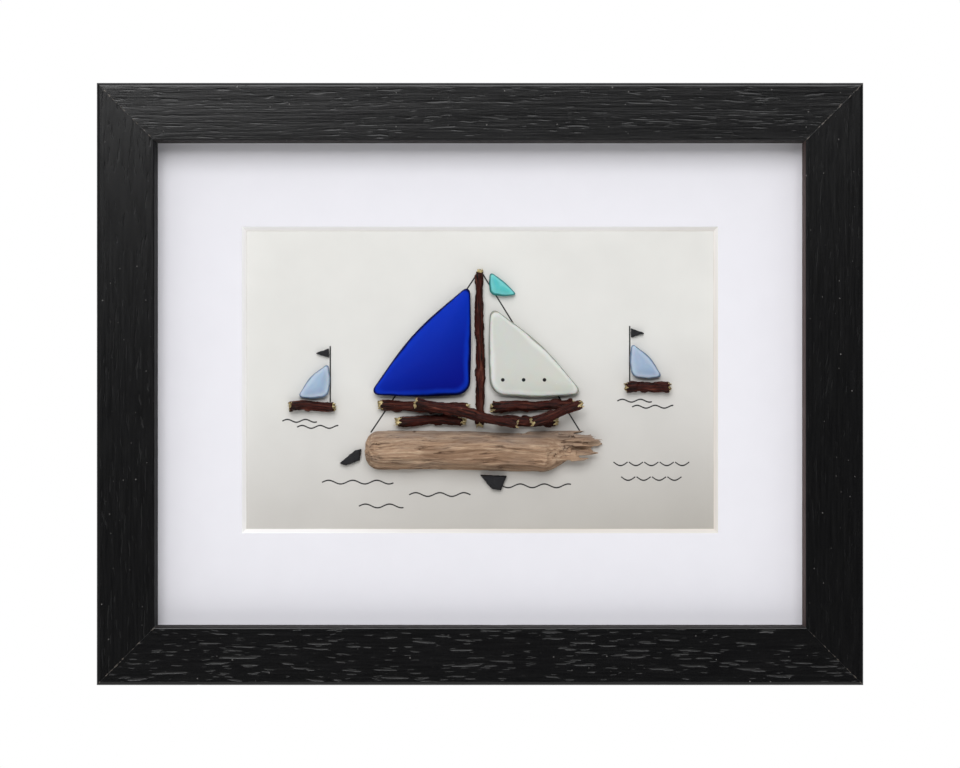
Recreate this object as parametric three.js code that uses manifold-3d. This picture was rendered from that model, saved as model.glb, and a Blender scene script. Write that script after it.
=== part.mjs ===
// A framed sea glass picture: a black moulded frame holds a window mat, a backing card and a back board,
// and a small sailing scene of frosted glass, driftwood, twigs and slate is glued to the card.
// Millimetres, +Z up, front facing -Y. The origin is the middle of the top rail's back face, on the wall.
import * as THREE from "three";
import { mergeVertices } from "three/addons/utils/BufferGeometryUtils.js";
import Module from "manifold-3d";

const wasm = await Module();
wasm.setup();

// Moulding
const sightWidth = 192; // opening that shows, at the front of the lip
const sightHeight = 143.5;
const faceWidth = 17.2; // width of a rail seen from the front
const frameDepth = 20;
const lipDepth = 10; // front face to the shoulder that the mat bears on
const rebateWidth = 5.2;
const outerEase = 1.1; // rounding of the rail's outer front edge
const sightEase = 0.5; // rounding of its inner front edge

// Sheets in the rebate
const sheetClearance = 0.5; // between each sheet's edge and the rebate
const matThickness = 1.4;
const cardThickness = 1;
const boardThickness = 2.5;
const windowWidth = 139.4; // mat opening, measured at the card
const windowHeight = 88.8;
const windowBevel = 1.3; // how far the cut edge leans back, seen from the front
const windowRaise = 1.2; // the mat's bottom margin is the deeper one

// Fixing tabs and hanger behind the board
const tabWidth = 6;
const tabThickness = 0.6;
const tabReach = 8; // length over the board
const tabSink = 3; // length in the rail
const tabClearance = 0.15;
const longRailTabs = [-1, 1];
const shortRailTabs = [0];
const tabSpread = 52; // from a long rail's middle to its tabs
const hangerLength = 44;
const hangerHeight = 8;
const hangerThickness = 0.8;
const hangerFoot = 7; // flat length at each end
const hangerRise = 1.5; // how far the middle stands off the board
const hangerDrop = 13; // from the rebate's top edge to the hanger's middle
const toothPitch = 2.4;
const toothDepth = 1.3;
const pinRadius = 0.9;
const pinHeadRadius = 2;
const pinHeadHeight = 0.9;
const pinSink = 1.5; // length in the board
const pinClearance = 0.2;

// Driftwood, the boat's hull
const hullLength = 72; // blunt end to the longest splinter
const hullHeight = 13.2;
const hullThickness = 9.4; // front to back
const hullLevel = -21; // height of its middle from the window's middle
const hullShift = 1;

// Twigs
const twigGap = 0.3; // left between pieces that lie against each other
const deckTwigRadius = 1.6;
const boomTwigRadius = 1.7;
const crossTwigRadius = 1.65;
const boomLift = 0.9; // how much higher the boom twigs' outer ends are
// Ends of the twigs: the outer one from the mast's middle, the inner one from the mast's side
const deckTwigs = { left: { outer: 26, inner: 1.4 }, right: { outer: 24, inner: 2.2 } };
const boomTwigs = { left: { outer: 31, inner: 0.3 }, right: { outer: 29, inner: 0.4 } };
// The two that lie across the others: places from the mast, and how far the ends pass the twigs below
const longCrossTwig = { from: -20, to: 12, above: 1.8, below: 0.9 };
const shortCrossTwig = { from: 14.5, to: 31, above: 1.3, below: 0.6 };
const mastRadius = 1.5;
const mastRise = 39; // mast's top above the boom twigs
const peeledLength = 2; // bare wood at each snapped end

// Sea glass
const glassGap = 0.8; // between a sail and the twig beside it
const mainSailFoot = 31;
const mainSailLuff = 34;
const mainSailThickness = 4.6;
const jibFoot = 29;
const jibLuff = 27.5;
const jibThickness = 4.2;
const pennantFly = 8.6;
const pennantHoist = 7.4;
const pennantThickness = 3.2;
const pennantDrop = 1; // below the mast's top

// The two small boats
const dinghyTwigLength = 15;
const dinghyTwigRadius = 1.6;
const dinghySailFoot = 10;
const dinghySailLuff = 11;
const dinghySailThickness = 3.4;
const leftDinghy = { x: -50, level: -8 };
const rightDinghy = { x: 50, level: -2 };

// Slate chips
const flagLength = 4.2;
const flagHeight = 2.8;
const flagThickness = 1.4;
const flagStandoff = 2.4; // between a small boat's sail and its flag
const rudderLength = 6.6;
const rudderHeight = 5;
const keelLength = 8;
const keelHeight = 4.6;
const slateThickness = 2;

// Levels through the depth, from the wall at 0 to the frame's front
const outerWidth = sightWidth + 2 * faceWidth;
const outerHeight = sightHeight + 2 * faceWidth;
const backFaceWidth = faceWidth - rebateWidth;
const matFront = lipDepth - frameDepth;
const cardFront = matFront + matThickness;
const cardBack = cardFront + cardThickness;
const boardBack = cardBack + boardThickness;
const sheetWidth = sightWidth + 2 * (rebateWidth - sheetClearance);
const sheetHeight = sightHeight + 2 * (rebateWidth - sheetClearance);

const finish = {
  frame: { color: 0x1c1c1e, roughness: 0.5 },
  mat: { color: 0xebeaef, roughness: 0.9 },
  card: { color: 0xe0dfdb, roughness: 0.9 },
  board: { color: 0x8f6f4e, roughness: 0.85 },
  steel: { color: 0xb9b6ae, roughness: 0.35, metalness: 1 },
  driftwood: { color: 0x9d846e, roughness: 0.85 },
  bark: { color: 0x3d1f1b, roughness: 0.5 },
  slate: { color: 0x2b2b2d, roughness: 0.7 },
  whiteGlass: { color: 0xced0ca, roughness: 0.55 },
  cobaltGlass: { color: 0x132293, roughness: 0.5 },
  paleBlueGlass: { color: 0xa5b7ca, roughness: 0.55 },
  tealGlass: { color: 0x67c1c4, roughness: 0.5 },
};

function mesh(name, geometry, look) {
  const made = new THREE.Mesh(geometry, new THREE.MeshStandardMaterial(look));
  made.name = name;
  return made;
}

// Closed bodies from points and faces

function signedVolume(points, index) {
  let six = 0;
  for (let i = 0; i < index.length; i += 3) {
    const [a, b, c] = [points[index[i]], points[index[i + 1]], points[index[i + 2]]];
    six += a.dot(new THREE.Vector3().crossVectors(b, c));
  }
  return six / 6;
}

function bodyOf(points, index) {
  const facingOut = signedVolume(points, index) < 0 ? [...index].reverse() : index;
  return new THREE.BufferGeometry().setFromPoints(points).setIndex(facingOut);
}

function middleOf(ring) {
  return ring
    .reduce((sum, p) => sum.add(p), new THREE.Vector3())
    .divideScalar(ring.length);
}

// Skins a row of rings with equal counts. The ends close on their middles, or on each other.
function loft(rings, { loop = false, endTip = null } = {}) {
  const count = rings[0].length;
  const points = rings.flat();
  const index = [];
  const spans = loop ? rings.length : rings.length - 1;
  for (let r = 0; r < spans; r++) {
    for (let k = 0; k < count; k++) {
      const next = (k + 1) % count;
      const [a, b] = [r * count + k, r * count + next];
      const far = ((r + 1) % rings.length) * count;
      index.push(a, b, far + next, a, far + next, far + k);
    }
  }
  if (!loop) {
    const last = (rings.length - 1) * count;
    const startMiddle = points.push(middleOf(rings[0])) - 1;
    const endMiddle = points.push(endTip ?? middleOf(rings.at(-1))) - 1;
    for (let k = 0; k < count; k++) {
      const next = (k + 1) % count;
      index.push(startMiddle, next, k, last + k, last + next, endMiddle);
    }
  }
  return bodyOf(points, index);
}

function solidOf(geometry) {
  const bare = geometry.index ? geometry.toNonIndexed() : geometry.clone();
  for (const name of Object.keys(bare.attributes)) {
    if (name !== "position") bare.deleteAttribute(name);
  }
  const merged = mergeVertices(bare, 1e-4);
  return new wasm.Manifold(
    new wasm.Mesh({
      numProp: 3,
      vertProperties: new Float32Array(merged.attributes.position.array),
      triVerts: new Uint32Array(merged.index.array),
    }),
  );
}

function geometryOf(solid) {
  const made = solid.getMesh();
  return new THREE.BufferGeometry()
    .setAttribute("position", new THREE.BufferAttribute(made.vertProperties, 3))
    .setIndex(new THREE.BufferAttribute(made.triVerts, 1));
}

function cut(geometry, tools) {
  return geometryOf(tools.reduce((left, tool) => left.subtract(solidOf(tool)), solidOf(geometry)));
}

function joined(geometries) {
  return geometryOf(geometries.map(solidOf).reduce((sum, piece) => sum.add(piece)));
}

// A flat piece with its outline in X and Z, from y = 0 forwards
function slab(outline, thickness) {
  const shape = new THREE.Shape(outline);
  const options = { depth: thickness, bevelEnabled: false };
  return new THREE.ExtrudeGeometry(shape, options).rotateX(Math.PI / 2);
}

// Frame: one moulding, mitred at both ends

function railSection() {
  const shoulder = faceWidth - rebateWidth;
  const section = new THREE.Shape();
  section.moveTo(0, 0);
  section.lineTo(0, outerEase - frameDepth);
  section.absarc(outerEase, outerEase - frameDepth, outerEase, Math.PI, 1.5 * Math.PI);
  section.lineTo(faceWidth - sightEase, -frameDepth);
  section.absarc(faceWidth - sightEase, sightEase - frameDepth, sightEase, 1.5 * Math.PI, 2 * Math.PI);
  section.lineTo(faceWidth, matFront);
  section.lineTo(shoulder, matFront);
  section.lineTo(shoulder, 0);
  return section;
}

// Seen as the top rail: its outer edge is at z = 0 and each end slants at 45 degrees.
function mitredRail(length) {
  const options = { depth: 1, bevelEnabled: false, curveSegments: 5 };
  const geometry = new THREE.ExtrudeGeometry(railSection(), options);
  const place = geometry.attributes.position;
  for (let i = 0; i < place.count; i++) {
    const across = place.getX(i);
    const side = place.getZ(i) > 0.5 ? 1 : -1;
    place.setXYZ(i, side * (length / 2 - across), place.getY(i), -across);
  }
  return geometry;
}

function tabBlock(clearance) {
  const block = new THREE.BoxGeometry(
    tabWidth + 2 * clearance,
    tabThickness + 2 * clearance,
    tabSink + tabReach + clearance,
  );
  const length = tabSink + tabReach + clearance;
  return block.translate(0, tabThickness / 2, length / 2 - tabReach);
}

function railWithTabs(name, length, tabPlaces) {
  const side = new THREE.Group();
  const wall = -backFaceWidth; // the rebate's wall, below the outer edge
  const slots = tabPlaces.map((place) =>
    tabBlock(tabClearance).translate(place * tabSpread, boardBack, wall),
  );
  side.add(mesh(`frame_rail_${name}`, cut(mitredRail(length), slots), finish.frame));
  tabPlaces.forEach((place, i) => {
    const label = tabPlaces.length > 1 ? `${name}_${i + 1}` : name;
    const tab = mesh(`fixing_tab_${label}`, tabBlock(0), finish.steel);
    tab.position.set(place * tabSpread, boardBack, wall);
    side.add(tab);
  });
  return side;
}

function frame() {
  const rails = new THREE.Group();
  const top = railWithTabs("top", outerWidth, longRailTabs);
  const bottom = railWithTabs("bottom", outerWidth, longRailTabs);
  const left = railWithTabs("left", outerHeight, shortRailTabs);
  const right = railWithTabs("right", outerHeight, shortRailTabs);
  top.position.z = outerHeight / 2;
  bottom.position.z = -outerHeight / 2;
  bottom.rotation.y = Math.PI;
  left.position.x = -outerWidth / 2;
  left.rotation.y = -Math.PI / 2;
  right.position.x = outerWidth / 2;
  right.rotation.y = Math.PI / 2;
  rails.add(top, bottom, left, right);
  return rails;
}

// Sheets

function rectangle(width, height, y, middle = 0) {
  const corners = [
    [-1, -1],
    [1, -1],
    [1, 1],
    [-1, 1],
  ];
  return corners.map(([x, z]) => new THREE.Vector3((x * width) / 2, y, middle + (z * height) / 2));
}

function windowMat() {
  const frontWidth = windowWidth + 2 * windowBevel;
  const frontHeight = windowHeight + 2 * windowBevel;
  const rings = [
    rectangle(sheetWidth, sheetHeight, cardFront),
    rectangle(sheetWidth, sheetHeight, matFront),
    rectangle(frontWidth, frontHeight, matFront, windowRaise),
    rectangle(windowWidth, windowHeight, cardFront, windowRaise),
  ];
  return mesh("window_mat", loft(rings, { loop: true }), finish.mat);
}

function backingCard() {
  const rings = [rectangle(sheetWidth, sheetHeight, cardBack), rectangle(sheetWidth, sheetHeight, cardFront)];
  return mesh("backing_card", loft(rings), finish.card);
}

// Hanger: a bent strip with a toothed lower edge, pinned to the board

const hangerLevel = sightHeight / 2 + rebateWidth - hangerDrop;
const pinOffset = (hangerLength - hangerFoot) / 2;

function pinHole(deep) {
  return new THREE.CylinderGeometry(pinRadius + pinClearance, pinRadius + pinClearance, deep, 16);
}

function backBoard() {
  const rings = [rectangle(sheetWidth, sheetHeight, boardBack), rectangle(sheetWidth, sheetHeight, cardBack)];
  const holeDepth = pinSink + pinClearance;
  const holes = [-1, 1].map((side) =>
    pinHole(2 * holeDepth).translate(side * pinOffset, boardBack, hangerLevel),
  );
  return mesh("back_board", cut(loft(rings), holes), finish.board);
}

function hangerStrip() {
  const end = hangerLength / 2;
  const bend = end - hangerFoot;
  const flat = bend - hangerRise;
  const under = [
    [-end, 0],
    [-bend, 0],
    [-flat, hangerRise],
    [flat, hangerRise],
    [bend, 0],
    [end, 0],
  ];
  const over = under.map(([x, y]) => [x, y + hangerThickness]).reverse();
  const section = new THREE.Shape([...under, ...over].map(([x, y]) => new THREE.Vector2(x, y)));
  const strip = new THREE.ExtrudeGeometry(section, { depth: hangerHeight, bevelEnabled: false });
  const teeth = Math.floor((2 * flat - toothPitch) / toothPitch);
  const notches = [];
  for (let i = 0; i < teeth; i++) {
    const x = (i - (teeth - 1) / 2) * toothPitch;
    const notch = [
      new THREE.Vector2(x - toothPitch / 2, -toothDepth),
      new THREE.Vector2(x + toothPitch / 2, -toothDepth),
      new THREE.Vector2(x + toothPitch / 4, toothDepth),
      new THREE.Vector2(x - toothPitch / 4, toothDepth),
    ];
    const deep = 2 * hangerThickness;
    notches.push(slab(notch, deep).translate(0, hangerRise + 1.5 * hangerThickness, 0));
  }
  const holes = [-1, 1].map((side) =>
    pinHole(4 * hangerThickness).translate(side * pinOffset, hangerThickness / 2, hangerHeight / 2),
  );
  return cut(strip, [...notches, ...holes]);
}

function hangerPin() {
  const profile = [new THREE.Vector2(0, -pinSink), new THREE.Vector2(pinRadius, -pinSink)];
  profile.push(new THREE.Vector2(pinRadius, hangerThickness));
  const domeSteps = 4;
  for (let i = 0; i <= domeSteps; i++) {
    const turn = ((Math.PI / 2) * i) / domeSteps;
    const radius = i === domeSteps ? 0 : pinHeadRadius * Math.cos(turn);
    profile.push(new THREE.Vector2(radius, hangerThickness + pinHeadHeight * Math.sin(turn)));
  }
  return new THREE.LatheGeometry(profile, 16);
}

function hanger() {
  const group = new THREE.Group();
  group.position.set(0, boardBack, hangerLevel);
  const strip = mesh("sawtooth_hanger", hangerStrip(), finish.steel);
  strip.position.z = -hangerHeight / 2;
  group.add(strip);
  for (const [name, side] of [
    ["left", -1],
    ["right", 1],
  ]) {
    const pin = mesh(`hanger_pin_${name}`, hangerPin(), finish.steel);
    pin.position.x = side * pinOffset;
    group.add(pin);
  }
  return group;
}

// Driftwood: half-round sections with a flat back, blunt at one end and splintered at the other

// The part of the length that the round body takes, and where its lower side is torn away
const hullBodyEnd = 0.88;
const hullTearStart = 0.76;
const hullEndRounding = 0.07;

function hullEdges(along) {
  const rounding = Math.min(1, along / hullEndRounding);
  const blunt = (1 - (1 - rounding) ** 2.4) ** (1 / 2.4);
  const tear = Math.max(0, (along - hullTearStart) / (hullBodyEnd - hullTearStart));
  const top = 0.45 + 0.04 * Math.cos(5 * (along - 0.2)) - 0.12 * tear;
  const bottom = -0.5 + 0.03 * Math.sin(5.2 * along + 0.4) + 0.42 * tear ** 1.4;
  return { top: top * blunt * hullHeight, bottom: bottom * blunt * hullHeight, blunt, tear };
}

function hullX(along) {
  return hullShift + (along - 0.5) * hullLength;
}

// Highest wood over a stretch of the hull, which the twigs lie on
function hullTopOver(from, to) {
  const steps = 24;
  let highest = -Infinity;
  for (let i = 0; i <= steps; i++) {
    const x = from + ((to - from) * i) / steps;
    const along = THREE.MathUtils.clamp((x - hullShift) / hullLength + 0.5, 0, hullBodyEnd);
    highest = Math.max(highest, hullEdges(along).top);
  }
  return hullLevel + highest;
}

// A section of worn wood: flat at the back, with a few long furrows that follow the grain
function woodSection(x, low, high, thickness, furrow) {
  const steps = 16;
  const ring = [];
  for (let i = 0; i <= steps; i++) {
    const turn = (i / steps - 0.5) * Math.PI;
    const groove = 1 - furrow * (0.5 + 0.5 * Math.cos(6 * turn + 0.8 + 0.03 * x)) ** 2;
    const depth = thickness * Math.cos(turn) ** 0.7 * groove;
    ring.push(new THREE.Vector3(x, -depth, (low + high) / 2 + ((high - low) / 2) * Math.sin(turn)));
  }
  return ring;
}

function hullBody() {
  const stations = [0.004, 0.02, 0.045, 0.07, 0.11, 0.17, 0.24, 0.31, 0.38, 0.45, 0.52, 0.59, 0.65, 0.7];
  stations.push(0.76, 0.79, 0.82, 0.85, hullBodyEnd);
  const rings = stations.map((along) => {
    const { top, bottom, blunt, tear } = hullEdges(along);
    const thickness = hullThickness * (0.35 + 0.65 * blunt) * (1 - 0.68 * tear);
    return woodSection(hullX(along), hullLevel + bottom, hullLevel + top, thickness, 0.1);
  });
  return loft(rings);
}

// A long splinter, from inside the body out to a thin point. Levels are shares of the hull's height.
function splinter({ start, end, startLevel, endLevel, height, thickness }) {
  const steps = 6;
  const rings = [];
  for (let i = 0; i <= steps; i++) {
    const share = i / steps;
    const level = hullLevel + hullHeight * THREE.MathUtils.lerp(startLevel, endLevel, share);
    const half = (hullHeight * height * (1 - 0.9 * share ** 1.2)) / 2;
    const deep = hullThickness * thickness * (1 - 0.8 * share);
    rings.push(woodSection(hullX(THREE.MathUtils.lerp(start, end, share)), level - half, level + half, deep, 0));
  }
  return loft(rings);
}

function driftwood() {
  const splinters = [
    { start: 0.76, end: 1, startLevel: 0.13, endLevel: 0.16, height: 0.5, thickness: 0.66 },
    { start: 0.68, end: 0.93, startLevel: 0.3, endLevel: 0.46, height: 0.32, thickness: 0.46 },
    { start: 0.78, end: 0.965, startLevel: -0.02, endLevel: -0.02, height: 0.4, thickness: 0.52 },
  ];
  return mesh("driftwood_hull", joined([hullBody(), ...splinters.map(splinter)]), finish.driftwood);
}

// Twigs: ridged bark with knots, and a thinner peeled length at each snapped end

const barkSwell = 0.16; // the most that ridges and knots add to a twig's radius
const peeledShare = 0.78;

function barkRadius(share, turn, radius, phase) {
  const ridges = 0.05 * Math.cos(5 * turn + phase);
  const waves = 0.04 * Math.sin(9 * share + phase);
  const knot = 0.07 * Math.exp(-(((share - 0.3 - 0.1 * Math.sin(phase)) / 0.05) ** 2));
  return radius * (1 + ridges + waves + knot);
}

// Lies along +X from 0, with its middle line on the axis, and bows slightly along its length.
function twig({ length, radius, phase, taper = 0.1, bow = 0 }) {
  const sides = 10;
  const barkRings = 9;
  const line = [];
  line.push([0, peeledShare * 0.86], [peeledLength, peeledShare]);
  for (let i = 0; i <= barkRings; i++) {
    line.push([peeledLength + ((length - 2 * peeledLength) * i) / barkRings, 1]);
  }
  line.push([length - peeledLength, peeledShare], [length, peeledShare * 0.8]);
  const rings = line.map(([x, size], i) => {
    const share = x / length;
    const snapped = i === 0 || i === line.length - 1;
    const ring = [];
    for (let k = 0; k < sides; k++) {
      const turn = (2 * Math.PI * k) / sides;
      const r = barkRadius(share, turn, radius, phase) * size * (1 - taper * share);
      const jag = snapped ? 0.35 * Math.sin(2.3 * k + phase) * radius * (i ? 1 : -1) : 0;
      const lift = bow * Math.sin(Math.PI * share);
      ring.push(new THREE.Vector3(x + jag, r * Math.cos(turn), lift + r * Math.sin(turn)));
    }
    return ring;
  });
  return loft(rings);
}

function fullRadius(radius) {
  return radius * (1 + barkSwell);
}

// Puts a twig between two points of the picture, with its back resting at the given depth.
function twigBetween(name, from, to, radius, phase, { behind = 0, bow = 0, taper = 0.1 } = {}) {
  const run = new THREE.Vector2().subVectors(to, from);
  const geometry = twig({ length: run.length(), radius, phase, bow, taper });
  geometry.computeBoundingBox();
  const made = mesh(name, geometry, finish.bark);
  made.position.set(from.x, -behind - geometry.boundingBox.max.y, from.y);
  made.rotation.y = -run.angle();
  return made;
}

// Sea glass: a tumbled lozenge with round edges and a low crown

// Runs smoothly past its corner points: a closed uniform cubic B-spline.
function smoothOutline(corners, perSpan) {
  const count = corners.length;
  const outline = [];
  corners.forEach((_, i) => {
    const near = [-1, 0, 1, 2].map((step) => corners[(i + step + count) % count]);
    for (let k = 0; k < perSpan; k++) {
      const t = k / perSpan;
      const weights = [(1 - t) ** 3, 3 * t ** 3 - 6 * t * t + 4, -3 * t ** 3 + 3 * t * t + 3 * t + 1, t ** 3];
      const point = new THREE.Vector2();
      near.forEach((corner, j) => point.addScaledVector(corner, weights[j] / 6));
      outline.push(point);
    }
  });
  return outline;
}

// Corner points of a worn triangle: each corner is cut back, and each side swells by its belly.
function wornTriangle(corners, cornerCut, bellies) {
  const points = [];
  corners.forEach((corner, i) => {
    const before = corners[(i + 2) % 3];
    const after = corners[(i + 1) % 3];
    const beside = (other, share) =>
      new THREE.Vector2().subVectors(other, corner).setLength(share * cornerCut).add(corner);
    const out = new THREE.Vector2().subVectors(after, corner).setLength(bellies[i]);
    const middle = corner.clone().lerp(after, 0.5);
    middle.add(new THREE.Vector2(out.y, -out.x));
    points.push(beside(before, 1), beside(before, 0.5), beside(after, 0.5), beside(after, 1), middle);
  });
  return points;
}

// The outline at a depth, drawn in towards its middle
function insetRing(outline, inset, depth) {
  const ring = outline.map((point) => new THREE.Vector3(point.x, -depth, point.y));
  const middle = middleOf(ring);
  return ring.map((point) => point.clone().lerp(middle, inset / point.distanceTo(middle)));
}

function tumbledGlass(outline, thickness, edge) {
  const crown = 0.1 * thickness;
  const turns = [-90, -45, 0, 45, 80].map(THREE.MathUtils.degToRad);
  const rings = turns.map((turn) => {
    const depth = ((thickness - crown) / 2) * (1 + Math.sin(turn));
    return insetRing(outline, edge * (1 - Math.cos(turn)), depth);
  });
  const rim = rings.at(-1);
  const middle = middleOf(rim);
  for (const share of [0.66, 0.33]) {
    const depth = thickness - crown * share ** 2;
    rings.push(rim.map((p) => new THREE.Vector3().lerpVectors(middle, p, share).setY(-depth)));
  }
  const endTip = new THREE.Vector3(middle.x, -thickness, middle.z);
  return loft(rings, { endTip });
}

// A sail with its tack at (x, foot), its luff upright and its foot running to one side
function sail({ name, look, x, foot, run, luff, thickness, side, cornerCut, bellies, edge }) {
  const corners = [
    new THREE.Vector2(x, foot),
    new THREE.Vector2(x + side * run, foot),
    new THREE.Vector2(x, foot + luff),
  ];
  if (side < 0) corners.reverse();
  const order = side < 0 ? [bellies[1], bellies[0], bellies[2]] : bellies;
  const outline = smoothOutline(wornTriangle(corners, cornerCut, order), 3);
  return mesh(name, tumbledGlass(outline, thickness, edge), look);
}

// Slate: a split chip with straight broken edges
function slateChip(name, corners, thickness) {
  const chamfer = 0.3 * thickness;
  const outline = corners.map(([x, z]) => new THREE.Vector2(x, z));
  const rings = [
    insetRing(outline, 0, 0),
    insetRing(outline, 0, thickness - chamfer),
    insetRing(outline, chamfer, thickness),
  ];
  return mesh(name, loft(rings), finish.slate);
}

// The large boat

const mastX = hullShift - 1;
const deckHalf = hullLength * 0.4;
const deckSeat = hullTopOver(mastX - deckHalf, mastX + deckHalf) + twigGap;
const deckTop = deckSeat + 2 * fullRadius(deckTwigRadius);
const boomSeat = deckTop + twigGap;
const boomTop = boomSeat + boomLift + 2 * fullRadius(boomTwigRadius);
const mastClear = fullRadius(mastRadius) + twigGap;

function spars() {
  const group = new THREE.Group();
  const deckLevel = deckSeat + fullRadius(deckTwigRadius);
  const boomLevel = boomSeat + fullRadius(boomTwigRadius);
  const at = (x, z) => new THREE.Vector2(mastX + x, z);
  const lower = 2 * fullRadius(Math.max(deckTwigRadius, boomTwigRadius, mastRadius)) + twigGap;
  const pair = (kind, ends, level, lift, radius, phases) => {
    const left = [at(-ends.left.outer, level + lift), at(-mastClear - ends.left.inner, level)];
    const right = [at(mastClear + ends.right.inner, level), at(ends.right.outer, level + lift)];
    group.add(twigBetween(`${kind}_twig_left`, ...left, radius, phases[0]));
    group.add(twigBetween(`${kind}_twig_right`, ...right, radius, phases[1]));
  };
  pair("deck", deckTwigs, deckLevel, 0, deckTwigRadius, [0.4, 2.1]);
  pair("boom", boomTwigs, boomLevel, boomLift, boomTwigRadius, [3.3, 5.2]);
  const longEnds = [
    at(longCrossTwig.from, boomLevel + longCrossTwig.above),
    at(longCrossTwig.to, deckLevel - longCrossTwig.below),
  ];
  const shortEnds = [
    at(shortCrossTwig.from, deckLevel - shortCrossTwig.below),
    at(shortCrossTwig.to, boomLevel + shortCrossTwig.above),
  ];
  group.add(twigBetween("cross_twig_long", ...longEnds, crossTwigRadius, 1.2, { behind: lower }));
  group.add(twigBetween("cross_twig_short", ...shortEnds, crossTwigRadius, 6, { behind: lower }));
  const mastFoot = hullTopOver(mastX - mastRadius, mastX + mastRadius) + twigGap;
  const foot = new THREE.Vector2(mastX, mastFoot);
  const head = new THREE.Vector2(mastX, boomTop + mastRise);
  group.add(twigBetween("mast_twig", foot, head, mastRadius, 4.1, { taper: 0.22 }));
  return group;
}

function sails() {
  const group = new THREE.Group();
  const foot = boomTop + glassGap;
  const luffOffset = mastClear + glassGap;
  group.add(
    sail({
      name: "cobalt_mainsail",
      look: finish.cobaltGlass,
      x: mastX - luffOffset,
      foot,
      run: mainSailFoot,
      luff: mainSailLuff,
      thickness: mainSailThickness,
      side: -1,
      cornerCut: 5,
      bellies: [0.7, 2.8, 0.3],
      edge: 2,
    }),
    sail({
      name: "white_jib",
      look: finish.whiteGlass,
      x: mastX + luffOffset,
      foot,
      run: jibFoot,
      luff: jibLuff,
      thickness: jibThickness,
      side: 1,
      cornerCut: 5.4,
      bellies: [0.9, 2.2, 0.4],
      edge: 1.9,
    }),
    sail({
      name: "teal_pennant",
      look: finish.tealGlass,
      x: mastX + luffOffset,
      foot: boomTop + mastRise - pennantDrop - pennantHoist,
      run: pennantFly,
      luff: pennantHoist,
      thickness: pennantThickness,
      side: 1,
      cornerCut: 2.1,
      bellies: [0.4, 0.5, 0.2],
      edge: 1.2,
    }),
  );
  return group;
}

function hullFittings() {
  const group = new THREE.Group();
  const sternX = hullX(0) - twigGap;
  const rudderTop = hullLevel + 0.5;
  group.add(
    slateChip(
      "slate_rudder",
      [
        [sternX, rudderTop],
        [sternX - 0.3 * rudderLength, rudderTop - 0.1 * rudderHeight],
        [sternX - rudderLength, rudderTop - 0.86 * rudderHeight],
        [sternX - 0.7 * rudderLength, rudderTop - rudderHeight],
        [sternX - 0.08 * rudderLength, rudderTop - 0.7 * rudderHeight],
      ].reverse(),
      slateThickness,
    ),
  );
  const keelTop = hullLevel - 0.53 * hullHeight - twigGap;
  const keelX = mastX + 4;
  group.add(
    slateChip(
      "slate_keel",
      [
        [keelX - 0.5 * keelLength, keelTop],
        [keelX + 0.5 * keelLength, keelTop - 0.06 * keelHeight],
        [keelX + 0.28 * keelLength, keelTop - keelHeight],
        [keelX - 0.06 * keelLength, keelTop - 0.92 * keelHeight],
      ].reverse(),
      slateThickness,
    ),
  );
  return group;
}

// A small boat: a twig for a hull, one pale blue sail and a slate flag
function dinghy(name, { x, level }, side, phase) {
  const group = new THREE.Group();
  const half = dinghyTwigLength / 2;
  const from = new THREE.Vector2(x - half, level);
  const to = new THREE.Vector2(x + half, level);
  group.add(twigBetween(`${name}_dinghy_twig`, from, to, dinghyTwigRadius, phase));
  const foot = level + fullRadius(dinghyTwigRadius) + glassGap;
  group.add(
    sail({
      name: `${name}_dinghy_sail`,
      look: finish.paleBlueGlass,
      x: x + (side * dinghySailFoot) / 2,
      foot,
      run: dinghySailFoot,
      luff: dinghySailLuff,
      thickness: dinghySailThickness,
      side: -side,
      cornerCut: 2.8,
      bellies: [0.4, 1.3, 0.5],
      edge: 1.4,
    }),
  );
  const flagX = x + (side * dinghySailFoot) / 2;
  const flagFoot = foot + dinghySailLuff + flagStandoff - flagHeight / 2;
  const corners = [
    [flagX, flagFoot],
    [flagX, flagFoot + flagHeight],
    [flagX - side * flagLength, flagFoot + 0.45 * flagHeight],
  ];
  group.add(slateChip(`${name}_dinghy_flag`, side > 0 ? corners.reverse() : corners, flagThickness));
  return group;
}

function picture() {
  const group = new THREE.Group();
  group.position.set(0, cardFront, windowRaise);
  group.add(driftwood(), spars(), sails(), hullFittings());
  group.add(dinghy("left", leftDinghy, 1, 0.9), dinghy("right", rightDinghy, -1, 2.6));
  return group;
}

const framedPicture = new THREE.Group();
framedPicture.position.z = backFaceWidth / 2 - outerHeight / 2;
framedPicture.add(frame(), windowMat(), backingCard(), backBoard(), hanger(), picture());

export default framedPicture;
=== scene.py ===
# Framed sea glass picture: a black ash frame, a white window mat, and a sailing scene of frosted glass,
# driftwood, twigs and slate. Metres, +Z up, the picture faces -Y and hangs on the plane y = 0.
import math
from contextlib import contextmanager
from functools import partial, reduce

import bmesh
import bpy
import numpy as np
from mathutils import Matrix, Vector, noise


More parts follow.
